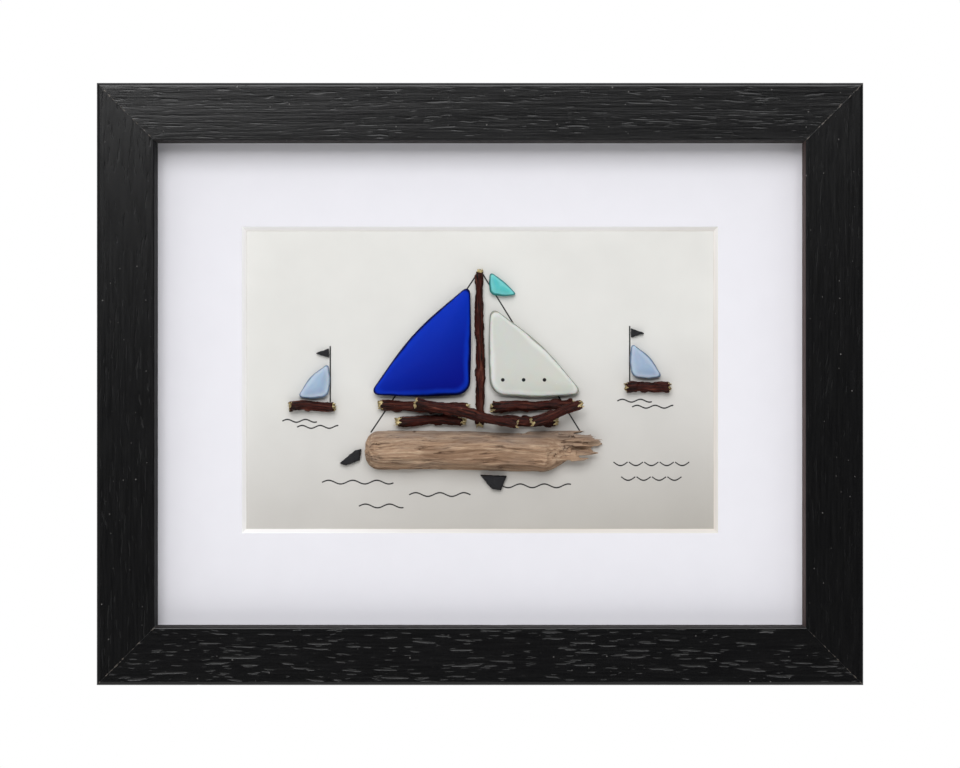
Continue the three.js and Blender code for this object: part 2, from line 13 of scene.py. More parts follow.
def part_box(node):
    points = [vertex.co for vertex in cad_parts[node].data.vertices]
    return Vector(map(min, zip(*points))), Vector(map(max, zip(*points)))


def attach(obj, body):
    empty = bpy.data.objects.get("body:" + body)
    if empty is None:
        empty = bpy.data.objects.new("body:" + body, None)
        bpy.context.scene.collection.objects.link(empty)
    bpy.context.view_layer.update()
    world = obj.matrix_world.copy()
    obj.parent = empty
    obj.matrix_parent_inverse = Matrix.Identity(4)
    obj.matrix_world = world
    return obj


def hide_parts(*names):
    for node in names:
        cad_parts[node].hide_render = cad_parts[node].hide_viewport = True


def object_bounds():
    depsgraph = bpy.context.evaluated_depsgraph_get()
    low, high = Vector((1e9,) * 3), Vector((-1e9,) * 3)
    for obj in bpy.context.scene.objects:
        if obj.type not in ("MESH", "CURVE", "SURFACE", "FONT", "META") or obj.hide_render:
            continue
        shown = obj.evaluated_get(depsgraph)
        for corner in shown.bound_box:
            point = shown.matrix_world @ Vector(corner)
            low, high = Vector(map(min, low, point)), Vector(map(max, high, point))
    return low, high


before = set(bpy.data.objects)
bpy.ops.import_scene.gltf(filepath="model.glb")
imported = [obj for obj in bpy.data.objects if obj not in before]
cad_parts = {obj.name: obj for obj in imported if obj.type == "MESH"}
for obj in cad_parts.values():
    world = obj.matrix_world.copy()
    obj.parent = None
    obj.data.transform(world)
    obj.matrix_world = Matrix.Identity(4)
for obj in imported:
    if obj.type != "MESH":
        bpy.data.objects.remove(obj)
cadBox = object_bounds()
mm = 0.001
noiseSpread = (0.3, 0.7)  # nearly all of a noise field lies between these
print("frame loaded:", len(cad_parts), "nodes")


def linearColour(text):  # "#rrggbb" in sRGB to linear, with alpha
    parts = [int(text[i : i + 2], 16) / 255 for i in (1, 3, 5)]
    return (*[p / 12.92 if p <= 0.04045 else ((p + 0.055) / 1.055) ** 2.4 for p in parts], 1.0)


modeNames = {  # the setting that the mode of a node stands for
    "Math": "operation",
    "VectorMath": "operation",
    "Mix": "data_type",
    "MapRange": "interpolation_type",
    "GeometryNodeResampleCurve": "mode",
}


def addNode(tree, kind, inputs=(), mode=None, **settings):
    # A kind without Node in its name is a shader node
    made = tree.nodes.new(kind if "Node" in kind else "ShaderNode" + kind)
    if mode:
        settings[modeNames[kind]] = mode
    for name, value in settings.items():
        setattr(made, name, value)
    feed(made, inputs)
    return made


def feed(node, inputs):
    # Sets or links inputs, which are given by name or else in the order of the sockets in use.
    # A node as a value stands for its first output in use, and a text with # for a colour.
    inUse = [socket for socket in node.inputs if socket.enabled]
    for key, value in inputs.items() if isinstance(inputs, dict) else enumerate(inputs):
        socket = node.inputs[key] if isinstance(key, str) else inUse[key]
        if isinstance(value, bpy.types.Node):
            value = next(output for output in value.outputs if output.enabled)
        if isinstance(value, bpy.types.NodeSocket):
            node.id_data.links.new(value, socket)
        elif isinstance(value, str) and value.startswith("#"):
            socket.default_value = linearColour(value)
        else:
            socket.default_value = value


def setStops(ramp, *stops):  # a new colour ramp has two stops already, which the first two here move
    for i, (position, colour) in enumerate(stops):
        stop = ramp.color_ramp.elements[i] if i < 2 else ramp.color_ramp.elements.new(position)
        stop.position, stop.color = position, linearColour(colour)


def unevenness(add, place, sizes, seed=0.0, detail=2.0, roughness=0.5):
    # A smooth random field whose features are about as long as the sizes, in mm along x, y and z
    scaled = add("VectorMath", (place, [1 / (size * mm) for size in sizes]), "MULTIPLY")
    return add("TexNoise", (scaled, seed, 1.0, detail, roughness), noise_dimensions="4D")


def wander(add, place, longWaves, shortWaves, swing, axis):
    # The same place pushed along one axis in long and short waves, so that lines along x wander
    bend = unevenness(add, place, longWaves, seed=1.0, detail=1)
    ripple = unevenness(add, place, shortWaves, seed=2.0, detail=1)
    wide = add("Math", (bend, swing * mm), "MULTIPLY")
    both = add("Math", (ripple, 0.9 * mm, wide), "MULTIPLY_ADD")
    return add("VectorMath", (place, add("CombineXYZ", {axis: both})), "ADD")


def newMaterial(name, **fixed):
    material = bpy.data.materials.new(name)
    material.use_nodes = True
    material.node_tree.nodes.clear()
    add = partial(addNode, material.node_tree)
    shader = add("BsdfPrincipled", {key.replace("_", " "): value for key, value in fixed.items()})
    add("OutputMaterial", [shader])
    return material, shader, add


def newTree(name, inputs):  # a Geometry Nodes tree with named inputs
    tree = bpy.data.node_groups.new(name, "GeometryNodeTree")
    tree.interface.new_socket("Geometry", in_out="INPUT", socket_type="NodeSocketGeometry")
    for label, value in inputs.items():
        kind = "NodeSocketMaterial" if isinstance(value, bpy.types.Material) else "NodeSocketFloat"
        tree.interface.new_socket(label, in_out="INPUT", socket_type=kind).default_value = value
    tree.interface.new_socket("Geometry", in_out="OUTPUT", socket_type="NodeSocketGeometry")
    add = partial(addNode, tree)
    return tree, add, add("NodeGroupInput").outputs


def storeField(add, body, name, value, kind="FLOAT"):  # a value at each point, for the material to read
    stored = {"Geometry": body, "Name": name, "Value": value}
    return add("GeometryNodeStoreNamedAttribute", stored, data_type=kind, domain="POINT")


def closeTree(add, body, move, *finishes):  # a finish is a material, and where it goes if not everywhere
    moved = add("GeometryNodeSetPosition", {"Geometry": body, "Offset": move})
    made = add("GeometryNodeRealizeInstances", [moved])
    for finish in finishes:
        made = add("GeometryNodeSetMaterial", {"Geometry": made, **finish})
    add("NodeGroupOutput", [made])


def growWith(piece, tree, values):  # runs the tree on the piece and keeps the plain mesh
    modifier = piece.modifiers.new(tree.name, "NODES")
    modifier.node_group = tree
    for item in tree.interface.items_tree:
        if item.in_out == "INPUT" and item.name in values:
            modifier[item.identifier] = values[item.name]
    bakeModifiers(piece)


def bakeModifiers(piece):
    graph = bpy.context.evaluated_depsgraph_get()
    grown = bpy.data.meshes.new_from_object(
        piece.evaluated_get(graph), preserve_all_data_layers=True, depsgraph=graph
    )
    piece.modifiers.clear()
    piece.data = grown


def newObject(name, data):
    made = bpy.data.objects.new(name, data)
    bpy.context.scene.collection.objects.link(made)
    return made


def newPiece(name, points, faces, edges=()):
    shape = bpy.data.meshes.new(name)
    shape.from_pydata([tuple(p) for p in points], list(edges), faces)
    return newObject(name, shape)


@contextmanager
def editing(piece, source=None):  # the piece's mesh, or the source's, to be changed and put back
    shape = bmesh.new()
    shape.from_mesh((source or piece).data)
    yield shape
    shape.to_mesh(piece.data)
    shape.free()


def copyOf(node, name):  # the CAD solid as one welded mesh
    piece = newObject(name, bpy.data.meshes.new(name))
    with editing(piece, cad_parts[node]) as shape:
        bmesh.ops.remove_doubles(shape, verts=shape.verts, dist=0.002 * mm)
    return piece


def faceOutwards(piece):
    with editing(piece) as shape:
        bmesh.ops.recalc_face_normals(shape, faces=shape.faces)


def coat(piece, material):  # leaves the piece with this material only
    piece.data.materials.clear()
    piece.data.materials.append(material)


def settle(piece, node):  # the piece stands for its CAD node and moves with the body
    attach(piece, "root")
    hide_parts(node)


def skin(rings, closed=True):
    # Points and faces of a tube through rings of equal counts, closed by one face at each end
    count, last = len(rings[0]), len(rings) - 1
    points = [p for ring in rings for p in ring]
    faces = []
    for r in range(last):
        for k in range(count):
            n = (k + 1) % count
            faces.append((r * count + k, r * count + n, (r + 1) * count + n, (r + 1) * count + k))
    if closed:
        faces += [tuple(reversed(range(count))), tuple(range(last * count, len(points)))]
    return points, faces


# Camera and light

matLow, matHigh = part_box("window_mat")
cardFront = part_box("backing_card")[0].y
frameMiddle = (cadBox[0] + cadBox[1]) / 2
outerWidth = cadBox[1].x - cadBox[0].x
outerHeight = cadBox[1].z - cadBox[0].z

photoView = {
    "distance": 0.95,  # from the frame's front to the camera
    "pictureWidth": 0.2832,  # what the picture's width spans at the frame's front
    "sensor": 36.0,
}
cameraData = bpy.data.cameras.new("photoCamera")
cameraData.sensor_width = photoView["sensor"]
cameraData.lens = photoView["sensor"] * photoView["distance"] / photoView["pictureWidth"]
camera = newObject("photoCamera", cameraData)
camera.location = (0, cadBox[0].y - photoView["distance"], frameMiddle.z)
camera.rotation_euler = (math.pi / 2, 0, 0)
bpy.context.scene.camera = camera
bpy.context.scene.view_settings.view_transform = "Standard"

studio = {
    "frontRoom": 0.27,  # brightness of the room in front, level with the picture and below it
    "ceiling": 0.8,
    "leftShare": 0.9,  # how bright the room stays far to the left and right
    "rightShare": 0.35,
    "backRoom": 0.85,
    "darkPatch": 0.03,  # brightness of the unlit place behind the camera
    "darkTowards": (0.1, -1.0, -0.1),
    "darkInner": 0.975,  # cosines of the angles between which the dark part fades
    "darkOuter": 0.88,
    "lights": {
        # way it comes from, distance, width, height, brightness
        "softKey": ((0.0, -1.0, 0.6), 1.5, 0.95, 0.85, 4.3),
        "lowFill": ((0.0, -1.0, -0.62), 1.5, 0.9, 0.6, 3.0),
        "cornerKey": ((-0.28, -1.0, 0.32), 1.5, 0.5, 0.3, 5.0),
    },
    "floorDrop": 0.42,  # below the frame's lower edge
    "floorSize": 3.2,
}


def buildRoomLight():
    world = bpy.data.worlds.new("paleStudio")
    bpy.context.scene.world = world
    world.use_nodes = True
    world.node_tree.nodes.clear()
    add = partial(addNode, world.node_tree)
    way = add("TexCoord").outputs["Generated"]
    apart = add("SeparateXYZ", [way]).outputs
    heights = (-0.1, 0.7, studio["frontRoom"], studio["ceiling"])
    rising = add("MapRange", (apart["Z"], *heights), "SMOOTHSTEP")
    sides = [
        add("MapRange", (apart["X"], 0.2 * side, 0.8 * side, 1.0, studio[share]))
        for side, share in ((1, "rightShare"), (-1, "leftShare"))
    ]
    dimming = add("Math", sides, "MULTIPLY")
    dimmed = add("Math", (rising, dimming), "MULTIPLY")
    towards = Vector(studio["darkTowards"]).normalized()
    facing = add("VectorMath", (way, towards), "DOT_PRODUCT")
    fade = (studio["darkOuter"], studio["darkInner"])
    shade = add("MapRange", (facing, *fade), "SMOOTHSTEP")
    front = add("Mix", (shade, dimmed, studio["darkPatch"]), "FLOAT")
    behind = add("MapRange", (apart["Y"], -0.05, 0.35))
    strength = add("Mix", (behind, front, studio["backRoom"]), "FLOAT")
    room = add("Background", ((0.97, 0.98, 1.0, 1), strength))
    plain = add("Background", ((1, 1, 1, 1), 1.0))
    seen = add("LightPath").outputs["Is Camera Ray"]
    add("OutputWorld", [add("MixShader", (seen, room, plain))])


def buildStudio():
    buildRoomLight()
    for name, (way, distance, width, height, brightness) in studio["lights"].items():
        lampData = bpy.data.lights.new(name, "AREA")
        lampData.shape = "RECTANGLE"
        lampData.size, lampData.size_y = width, height
        lampData.energy = brightness * math.pi * width * height
        lamp = newObject(name, lampData)
        lamp.location = frameMiddle + Vector(way).normalized() * distance
        lamp.rotation_euler = (frameMiddle - lamp.location).to_track_quat("-Z", "Y").to_euler()
        lamp.visible_camera = False

    half = studio["floorSize"] / 2
    level = cadBox[0].z - studio["floorDrop"]
    corners = [(-half, -half, level), (half, -half, level), (half, half, level), (-half, half, level)]
    floor = newPiece("paleFloor", corners, [(0, 1, 2, 3)])
    material, shader, add = newMaterial("paintedPlasterFloor", Roughness=0.85)
    mottle = unevenness(add, add("TexCoord").outputs["Object"], (90, 90, 90), detail=3)
    feed(shader, {"Base Color": add("Mix", (mottle, "#e4e3e0", "#ecebe8"), "RGBA")})
    coat(floor, material)


buildStudio()
print("camera, light and floor made")


# Frame: four mitred lengths of one ash moulding, brushed and stained black, so the pores stay open

moulding = {
    "lip": 10.0 * mm,  # front face to the mat
    "rebate": 5.2 * mm,  # width of the step that holds the sheets
    "outerEase": 1.1 * mm,
    "sightEase": 0.5 * mm,
    "faceStep": 0.125 * mm,  # mesh spacing across the face
    "wallStep": 0.6 * mm,
    "lengthStep": 1.0 * mm,
    "jointGroove": 0.035 * mm,  # how far the faces fall away at the mitres
    "lipWear": {"top": 0.15, "right": 1.0, "bottom": 0.15, "left": 0.0},  # how brown the inner wall is worn, more on the right wall as painted light and less elsewhere as painted shade
    "openPores": {"top": 0.28, "right": 0.2, "bottom": 0.85, "left": 0.4},  # what the film left open
    "chipReach": 0.42 * mm,  # how far from a mitre the film has chipped
    "dust": (190, 0.045),  # specks per metre along the wood and across it, and the largest, in their spacing
}
grain = {
    # cell length and width in mm, largest share of a cell, and how far a row is shifted against the next
    "pores": ((17.0, 0.95, 0.27, 0.38), (8.0, 0.7, 0.25, -0.27)),
    "ringWidth": 3.4,
    "climb": 13.0,  # mm by which the rows of pores wander
    "poreDepth": 0.1,
    "ringDepth": 0.06,
}


def poreField(add, place):
    # 1 in the pores: thin dashes in rows that wander and climb, more of them where a growth ring passes.
    # The mesh and the material both use it.
    wandering = wander(add, place, (75, 14, 14), (3.2, 1.2, 1.2), grain["climb"], "Y")
    rings = unevenness(add, wandering, (140, grain["ringWidth"], 10), seed=3.0, detail=1)
    share = add("MapRange", (rings, 0.38, 0.6, 0.6, 1.0))
    across = add("SeparateXYZ", [wandering]).outputs["Y"]
    dashes = []
    for i, (length, width, largest, shift) in enumerate(grain["pores"]):
        scale, start = (1 / (length * mm), 1 / (width * mm), 0), (7.3 * i, 3.1 * i, 0)
        rows = add("VectorMath", (wandering, scale, start), "MULTIPLY_ADD")
        slide = add("Math", (across, shift / (width * mm)), "MULTIPLY")
        cells = add("VectorMath", (rows, add("CombineXYZ", [slide])), "ADD")
        spots = add("TexVoronoi", {"Vector": cells, "Scale": 1.0}, voronoi_dimensions="2D")
        chance = add("SeparateXYZ", [spots.outputs["Color"]])
        size = add("MapRange", (chance, 0.35, 0.95, 0.0, largest))
        sized = add("Math", (size, share), "MULTIPLY")
        inside = add("Math", (sized, spots.outputs["Distance"]), "SUBTRACT")
        dashes.append(add("MapRange", (inside, 0.0, 0.1)))
    return reduce(lambda total, dash: add("Math", (total, dash), "MAXIMUM"), dashes)


def mitreChips(add, spot, apart):
    # 1 on the front where the film has chipped along the mitres
    fromSide = add("Math", [apart["X"]], "ABSOLUTE")
    up = add("Math", (apart["Z"], frameMiddle.z), "SUBTRACT")
    fromTop = add("Math", [up], "ABSOLUTE")
    skew = add("Math", (fromSide, fromTop), "SUBTRACT")
    fromMitre = add("Math", (skew, (outerWidth - outerHeight) / 2), "SUBTRACT")
    near = add("Math", [fromMitre], "ABSOLUTE")
    edge = unevenness(add, spot, (1.1, 1.1, 1.1), seed=4.0, detail=3)
    reach = add("MapRange", (edge, 0.47, 0.72, 0.0, moulding["chipReach"]))
    chipped = add("Math", (near, reach), "LESS_THAN")
    forward = add("Math", (apart["Y"], cadBox[0].y + 1.6 * mm), "LESS_THAN")
    return add("Math", (chipped, forward), "MULTIPLY")


def dustSpecks(add, place):
    # Above 0 in specks of up to 0.4 mm that lie about half a centimetre apart
    spread, largest = moulding["dust"]
    cells = add("VectorMath", (place, (spread, spread, 0)), "MULTIPLY")
    dust = add("TexVoronoi", {"Vector": cells, "Scale": 1.0}, voronoi_dimensions="2D")
    chance = add("SeparateXYZ", [dust.outputs["Color"]]).outputs
    size = add("MapRange", (chance["X"], 0.45, 1.0, 0.0, largest))
    specks = add("Math", (dust.outputs["Distance"], size), "LESS_THAN")
    return add("Math", (specks, chance["Y"]), "MULTIPLY")


def stainedAsh():
    # Black lacquer on brushed ash: a satin, nearly black film that lies dull in the open pores, chipped
    # to bare wood along the mitres, with dust specks, and dull worn brown on the inner walls, strongest on
    # the right wall as painted light and absent on the left as painted shade
    material, shader, add = newMaterial("blackLacqueredAsh", Specular_IOR_Level=0.36)
    place = add("Attribute", attribute_name="grainPlace").outputs["Vector"]
    openness, innerWall, wearAndShade = (
        add("Attribute", attribute_name=name).outputs["Fac"] for name in ("openPores", "innerWall", "lipWear")
    )
    spot = add("TexCoord").outputs["Object"]
    apart = add("SeparateXYZ", [spot]).outputs
    fibre = unevenness(add, place, (14, 0.6, 5), seed=12.0, detail=3)
    hair = unevenness(add, place, (3.0, 0.26, 5), seed=15.0, detail=2)
    pores = add("MapRange", (poreField(add, place), 0.15, 0.8, 0.0, openness))
    chips = add("Math", (mitreChips(add, spot, apart), 0.42), "MULTIPLY")
    # Worn brown on the inner wall, strongest on the right wall as painted light and absent on the left as
    # painted shade
    lip = add("Math", (wearAndShade, 0.75), "MULTIPLY", use_clamp=True)
    tone = add("Mix", (fibre, "#060607", "#0c0c0d"), "RGBA")
    for share, colour in (
        (pores, "#0b0b0b"),
        (chips, "#8b8279"),
        (dustSpecks(add, place), "#686664"),
        (lip, "#5a4642"),
    ):
        tone = add("Mix", (share, tone, colour), "RGBA")

    # The back face took one thin coat, so brown wood shows through it
    rear = add("Math", (apart["Y"], -0.3 * mm), "GREATER_THAN")
    thinCoat = add("Mix", (fibre, "#1c1715", "#40332b"), "RGBA")
    coated = add("Mix", (rear, tone, thinCoat), "RGBA")
    satin = add("MapRange", (fibre, *noiseSpread, 0.2, 0.27))
    matt = add("Math", (rear, innerWall), "MAXIMUM", use_clamp=True)
    pitted = add("Math", (pores, 0.35), "MULTIPLY")
    dull = add("Math", (pitted, matt), "MAXIMUM")
    rough = add("Mix", (dull, satin, 0.85), "FLOAT")
    level = add("Math", (hair, 0.35, fibre), "MULTIPLY_ADD")
    sunk = add("Math", (level, pores), "SUBTRACT")
    bump = add("Bump", {"Height": sunk, "Strength": 0.5, "Distance": 0.07 * mm})
    feed(shader, {"Base Color": coated, "Roughness": rough, "Normal": bump})
    return material


def openGrainTree(material):
    # Sinks pores and soft rings into a length of wood whose grain runs along its own x
    tree, add, given = newTree(
        "openGrain",
        {
            "Pore Depth": 0.0001,
            "Ring Depth": 0.0001,
            "Seed": 0.0,
            "Sink Below": -0.0005,
            "Face Width": 0.0172,
            "Lip Wear And Shade": 0.5,
            "Open Pores": 1.0,
            "Wood": material,
        },
    )
    apart = add("SeparateXYZ", [add("GeometryNodeInputPosition")]).outputs
    ahead = add("Math", (given["Seed"], 0.31), "MULTIPLY")
    along = add("Math", (apart["X"], ahead), "ADD")
    around = add("Math", (apart["Z"], apart["Y"]), "ADD")
    place = add("CombineXYZ", (along, around, given["Seed"]))
    rings = unevenness(add, place, (95, grain["ringWidth"], 1000), seed=8.0, detail=2)
    sunk = add("Math", (poreField(add, place), given["Pore Depth"]), "MULTIPLY")
    deep = add("Math", (rings, given["Ring Depth"], sunk), "MULTIPLY_ADD")
    shown = add("Math", (apart["Y"], given["Sink Below"]), "LESS_THAN")
    inward = add("Math", (deep, shown), "MULTIPLY")
    back = add("Math", (inward, -1.0), "MULTIPLY")
    move = add("VectorMath", (add("GeometryNodeInputNormal"), back), "SCALE")
    depth = add("Math", (apart["Z"], given["Face Width"]), "ADD")
    isLip = add("Math", (depth, 0.04 * mm), "LESS_THAN")
    # How brown the inner wall is: partly wear, partly painted light and shade that differ by side
    shadedWornLip = add("Math", (isLip, given["Lip Wear And Shade"]), "MULTIPLY")
    body = storeField(add, given["Geometry"], "grainPlace", place, "FLOAT_VECTOR")
    for name, value in (("innerWall", isLip), ("lipWear", shadedWornLip), ("openPores", given["Open Pores"])):
        body = storeField(add, body, name, value)
    closeTree(add, body, move, {"Material": given["Wood"]})
    return tree


def mouldingSection(faceWidth, depth):
    # The section as (distance from the outer edge, y), from the wall round the front to the rebate
    face, wall = moulding["faceStep"], moulding["wallStep"]
    outer, sight = moulding["outerEase"], moulding["sightEase"]
    section = []

    def straight(start, end, step):
        count = max(1, round(math.dist(start, end) / step))
        section.extend(
            (start[0] + (end[0] - start[0]) * i / count, start[1] + (end[1] - start[1]) * i / count)
            for i in range(count)
        )

    def corner(middle, radius, start, turns):
        for i in range(turns):
            angle = math.radians(start + 90 * i / turns)
            section.append((middle[0] + radius * math.cos(angle), middle[1] + radius * math.sin(angle)))

    front, shoulder = -depth, moulding["lip"] - depth
    inner = faceWidth - moulding["rebate"]
    straight((0, 0), (0, front + outer), wall)
    corner((outer, front + outer), outer, 180, 7)
    straight((outer, front), (faceWidth - sight, front), face)
    corner((faceWidth - sight, front + sight), sight, 270, 5)
    straight((faceWidth, front + sight), (faceWidth, shoulder), wall)
    straight((faceWidth, shoulder), (inner, shoulder), 2.6 * mm)
    straight((inner, shoulder), (inner, 0), 3.3 * mm)
    straight((inner, 0), (0, 0), 2 * mm)
    return section


def frameRail(side, turn, length, seed, tree):
    # Made lying along x with its outer edge at z = 0, then turned into its place
    low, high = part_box(f"frame_rail_{side}")
    faceWidth, depth = min(high.x - low.x, high.z - low.z), high.y - low.y
    section = mouldingSection(faceWidth, depth)
    steps = round(length / moulding["lengthStep"])
    groove = moulding["jointGroove"]
    shares = [-1 + 2 * i / steps for i in range(steps + 1)]
    close = [width * groove / (length / 2) for width in (0.25, 2.2, 5.0)]  # more rings beside the mitres
    rings = []
    for share in sorted(shares + [sign * (1 - gap) for sign in (-1, 1) for gap in close]):
        gap = (1 - abs(share)) * length / 2
        fall = groove * max(0.0, 1 - gap / (2 * groove)) ** 2
        ring = []
        for across, y in section:
            forward = min(1.0, max(0.0, (-y - depth + 3 * mm) / (2 * mm)))
            ring.append(Vector((share * (length / 2 - across), y + fall * forward, -across)))
        rings.append(ring)
    rail = newPiece(f"ash_rail_{side}", *skin(rings))
    faceOutwards(rail)
    rail.data.shade_smooth()
    openness = moulding["openPores"][side]
    values = {
        "Pore Depth": openness * grain["poreDepth"] * mm,
        "Ring Depth": grain["ringDepth"] * mm,
        "Seed": seed,
        "Face Width": faceWidth,
        "Lip Wear And Shade": moulding["lipWear"][side],
        "Open Pores": openness,
    }
    growWith(rail, tree, values)
    edge = {
        "top": Vector((0, 0, high.z)),
        "bottom": Vector((0, 0, low.z)),
        "left": Vector((low.x, 0, frameMiddle.z)),
        "right": Vector((high.x, 0, frameMiddle.z)),
    }[side]
    rail.data.transform(Matrix.Translation(edge) @ Matrix.Rotation(turn, 4, "Y"))
    rail.data.shade_smooth()
    settle(rail, f"frame_rail_{side}")


def buildFrame():
    tree = openGrainTree(stainedAsh())
    for side, turn, length, seed in (
        ("top", 0.0, outerWidth, 1.3),
        ("right", math.pi / 2, outerHeight, 4.9),
        ("bottom", math.pi, outerWidth, 7.2),
        ("left", -math.pi / 2, outerHeight, 11.6),
    ):
        frameRail(side, turn, length, seed, tree)


buildFrame()
print("frame made")


# Window mat: white board with a smooth face paper and a bright core that shows in the bevel

mat = {
    "windowWidth": 139.4 * mm,  # at the card
    "windowHeight": 88.8 * mm,
    "bevel": 1.3 * mm,
    "edge": 0.12 * mm,  # rounding of the face paper over the cut
    "raise": 1.2 * mm,
}
windowMiddle = Vector((0, cardFront, frameMiddle.z + mat["raise"]))


def facePaper():
    # Smooth matt cotton paper, faintly blue-white, with a fine tooth
    material, shader, add = newMaterial("whiteMatPaper", Roughness=0.88, Specular_IOR_Level=0.25)
    place = add("TexCoord").outputs["Object"]
    cloud = unevenness(add, place, (9, 9, 9), detail=3)
    tone = add("Mix", (cloud, "#eeedf3", "#f2f1f7"), "RGBA")
    tooth = unevenness(add, place, (0.35, 0.35, 0.35), detail=3)
    bump = add("Bump", {"Height": tooth, "Strength": 0.22, "Distance": 0.05 * mm})
    feed(shader, {"Base Color": tone, "Normal": bump})
    return material


def boardCore():
    # Bright bleached pulp in layers, cut by a blade, with painted shade: a little darker and warmer towards
    # the lower right, and darker at the foot of the cut
    material, shader, add = newMaterial("matBoardCore", Roughness=0.95, Specular_IOR_Level=0.15)
    place = add("TexCoord").outputs["Object"]
    layers = unevenness(add, place, (9, 0.2, 9), detail=2)
    depth = add("SeparateXYZ", [place]).outputs["Y"]
    waver = add("MapRange", (layers, *noiseSpread, -0.1 * mm, 0.1 * mm))
    layer = add("Math", (depth, waver), "ADD")
    # The pulp's layers, with painted shade darkening the foot of the cut next to the card
    ramp = add("ValToRGB", [add("MapRange", (layer, matLow.y, matHigh.y))])
    setStops(ramp, (0.24, "#ffffff"), (1.0, "#e6e1dc"), (0.45, "#fbf9f9"), (0.85, "#fffdfc"))
    # Painted shade: the cut grows a little darker and warmer towards the lower right
    spot = add("VectorMath", (place, windowMiddle), "SUBTRACT")
    lowerRight = add("VectorMath", (spot, (1, 0, -1)), "DOT_PRODUCT")
    coreShadeShare = add("MapRange", (lowerRight, -8 * mm, 60 * mm))
    coreShade = add("Mix", (coreShadeShare, (1, 1, 1, 1), "#ece8e2"), "RGBA")
    feed(shader, {"Base Color": add("VectorMath", (ramp, coreShade), "MULTIPLY")})
    return material


def buildMat():
    def corners(width, height, y, lift):
        return [
            Vector((x * width / 2, y, frameMiddle.z + lift + z * height / 2))
            for x, z in ((-1, -1), (1, -1), (1, 1), (-1, 1))
        ]

    size = matHigh - matLow
    edge = mat["edge"]
    wide, high = mat["windowWidth"], mat["windowHeight"]
    rings = [corners(size.x, size.z, matHigh.y, 0), corners(size.x, size.z, matLow.y, 0)]
    steps = 4
    for i in range(steps + 1):  # the face paper rolls over the cut
        turn = math.radians(45 * i / steps)
        grow = mat["bevel"] + edge * (0.8 - math.sin(turn) * 1.9)
        y = matLow.y + edge * 2.4 * (1 - math.cos(turn))
        rings.append(corners(wide + 2 * grow, high + 2 * grow, y, mat["raise"]))
    rings.append(corners(wide, high, matHigh.y, mat["raise"]))
    points, faces = skin(rings + rings[:1], closed=False)
    count = len(rings) * 4
    board = newPiece("mat_board_window", points[:count], [tuple(i % count for i in face) for face in faces])
    faceOutwards(board)
    for material in (facePaper(), boardCore()):
        board.data.materials.append(material)
    for i, face in enumerate(board.data.polygons):
        face.material_index = int(steps < i // 4 < len(rings) - 1)
    settle(board, "window_mat")


buildMat()
print("mat made")


# Backing card, with the pen work: masts, stays, long waves, and two rows of wavelets at the lower right

hullLow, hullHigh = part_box("driftwood_hull")
ink = {
    "width": 0.42 * mm,
    "edge": 0.07 * mm,
    "rowStart": (40.0, -24.6),  # first wavelet of the upper row, from the window's middle, in mm
    "rowStep": 4.6,
    "rowDrop": 4.4,
    "rowCounts": (5, 4),
    "waveletLength": 3.9,
    "waveletHeight": -0.95,
}
noWave = (0.0, 10 * mm)  # wave height and length of a stroke that doesn't wave


def penStrokes():
    # Each stroke: start, end, wave height and wave length, in metres, on the card
    def onCard(x, z):
        return Vector((x, cardFront, z))

    def fromMiddle(x, z):
        return windowMiddle + Vector((x * mm, 0, z * mm))

    strokes = []
    for side in ("left", "right"):
        flagLow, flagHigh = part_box(f"{side}_dinghy_flag")
        twigLow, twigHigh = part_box(f"{side}_dinghy_twig")
        mastX = flagHigh.x + 0.3 * mm if side == "left" else flagLow.x - 0.3 * mm
        strokes.append((onCard(mastX, twigHigh.z), onCard(mastX, flagHigh.z + 0.5 * mm), *noWave))
        for drop, start, end in ((2.6, -0.8, 9.2), (4.4, 3.6, 15.6)):
            z = twigLow.z - drop * mm
            ends = [onCard(twigLow.x + x * mm, z) for x in (start, end)]
            strokes.append((*ends, 0.42 * mm, 5.4 * mm))
    mastLow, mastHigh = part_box("mast_twig")
    head = onCard((mastLow.x + mastHigh.x) / 2, mastHigh.z - 1.2 * mm)
    for x in (hullLow.x + 2.2 * mm, hullHigh.x - 7 * mm):
        strokes.append((head, onCard(x, hullHigh.z - 1 * mm), *noWave))
    for x, z, length in ((-47, -30.5, 21), (-21, -34.2, 18), (3, -31.6, 24), (-36, -37.6, 13)):
        strokes.append((fromMiddle(x, z), fromMiddle(x + length, z), 0.55 * mm, 7.2 * mm))
    long, high = ink["waveletLength"], ink["waveletHeight"]
    for row, count in enumerate(ink["rowCounts"]):
        for i in range(count):
            x = ink["rowStart"][0] + ink["rowStep"] * (i + 0.5 * row)
            z = ink["rowStart"][1] - ink["rowDrop"] * row
            strokes.append((fromMiddle(x, z), fromMiddle(x + long, z), high * mm, 2 * long * mm))
    return strokes


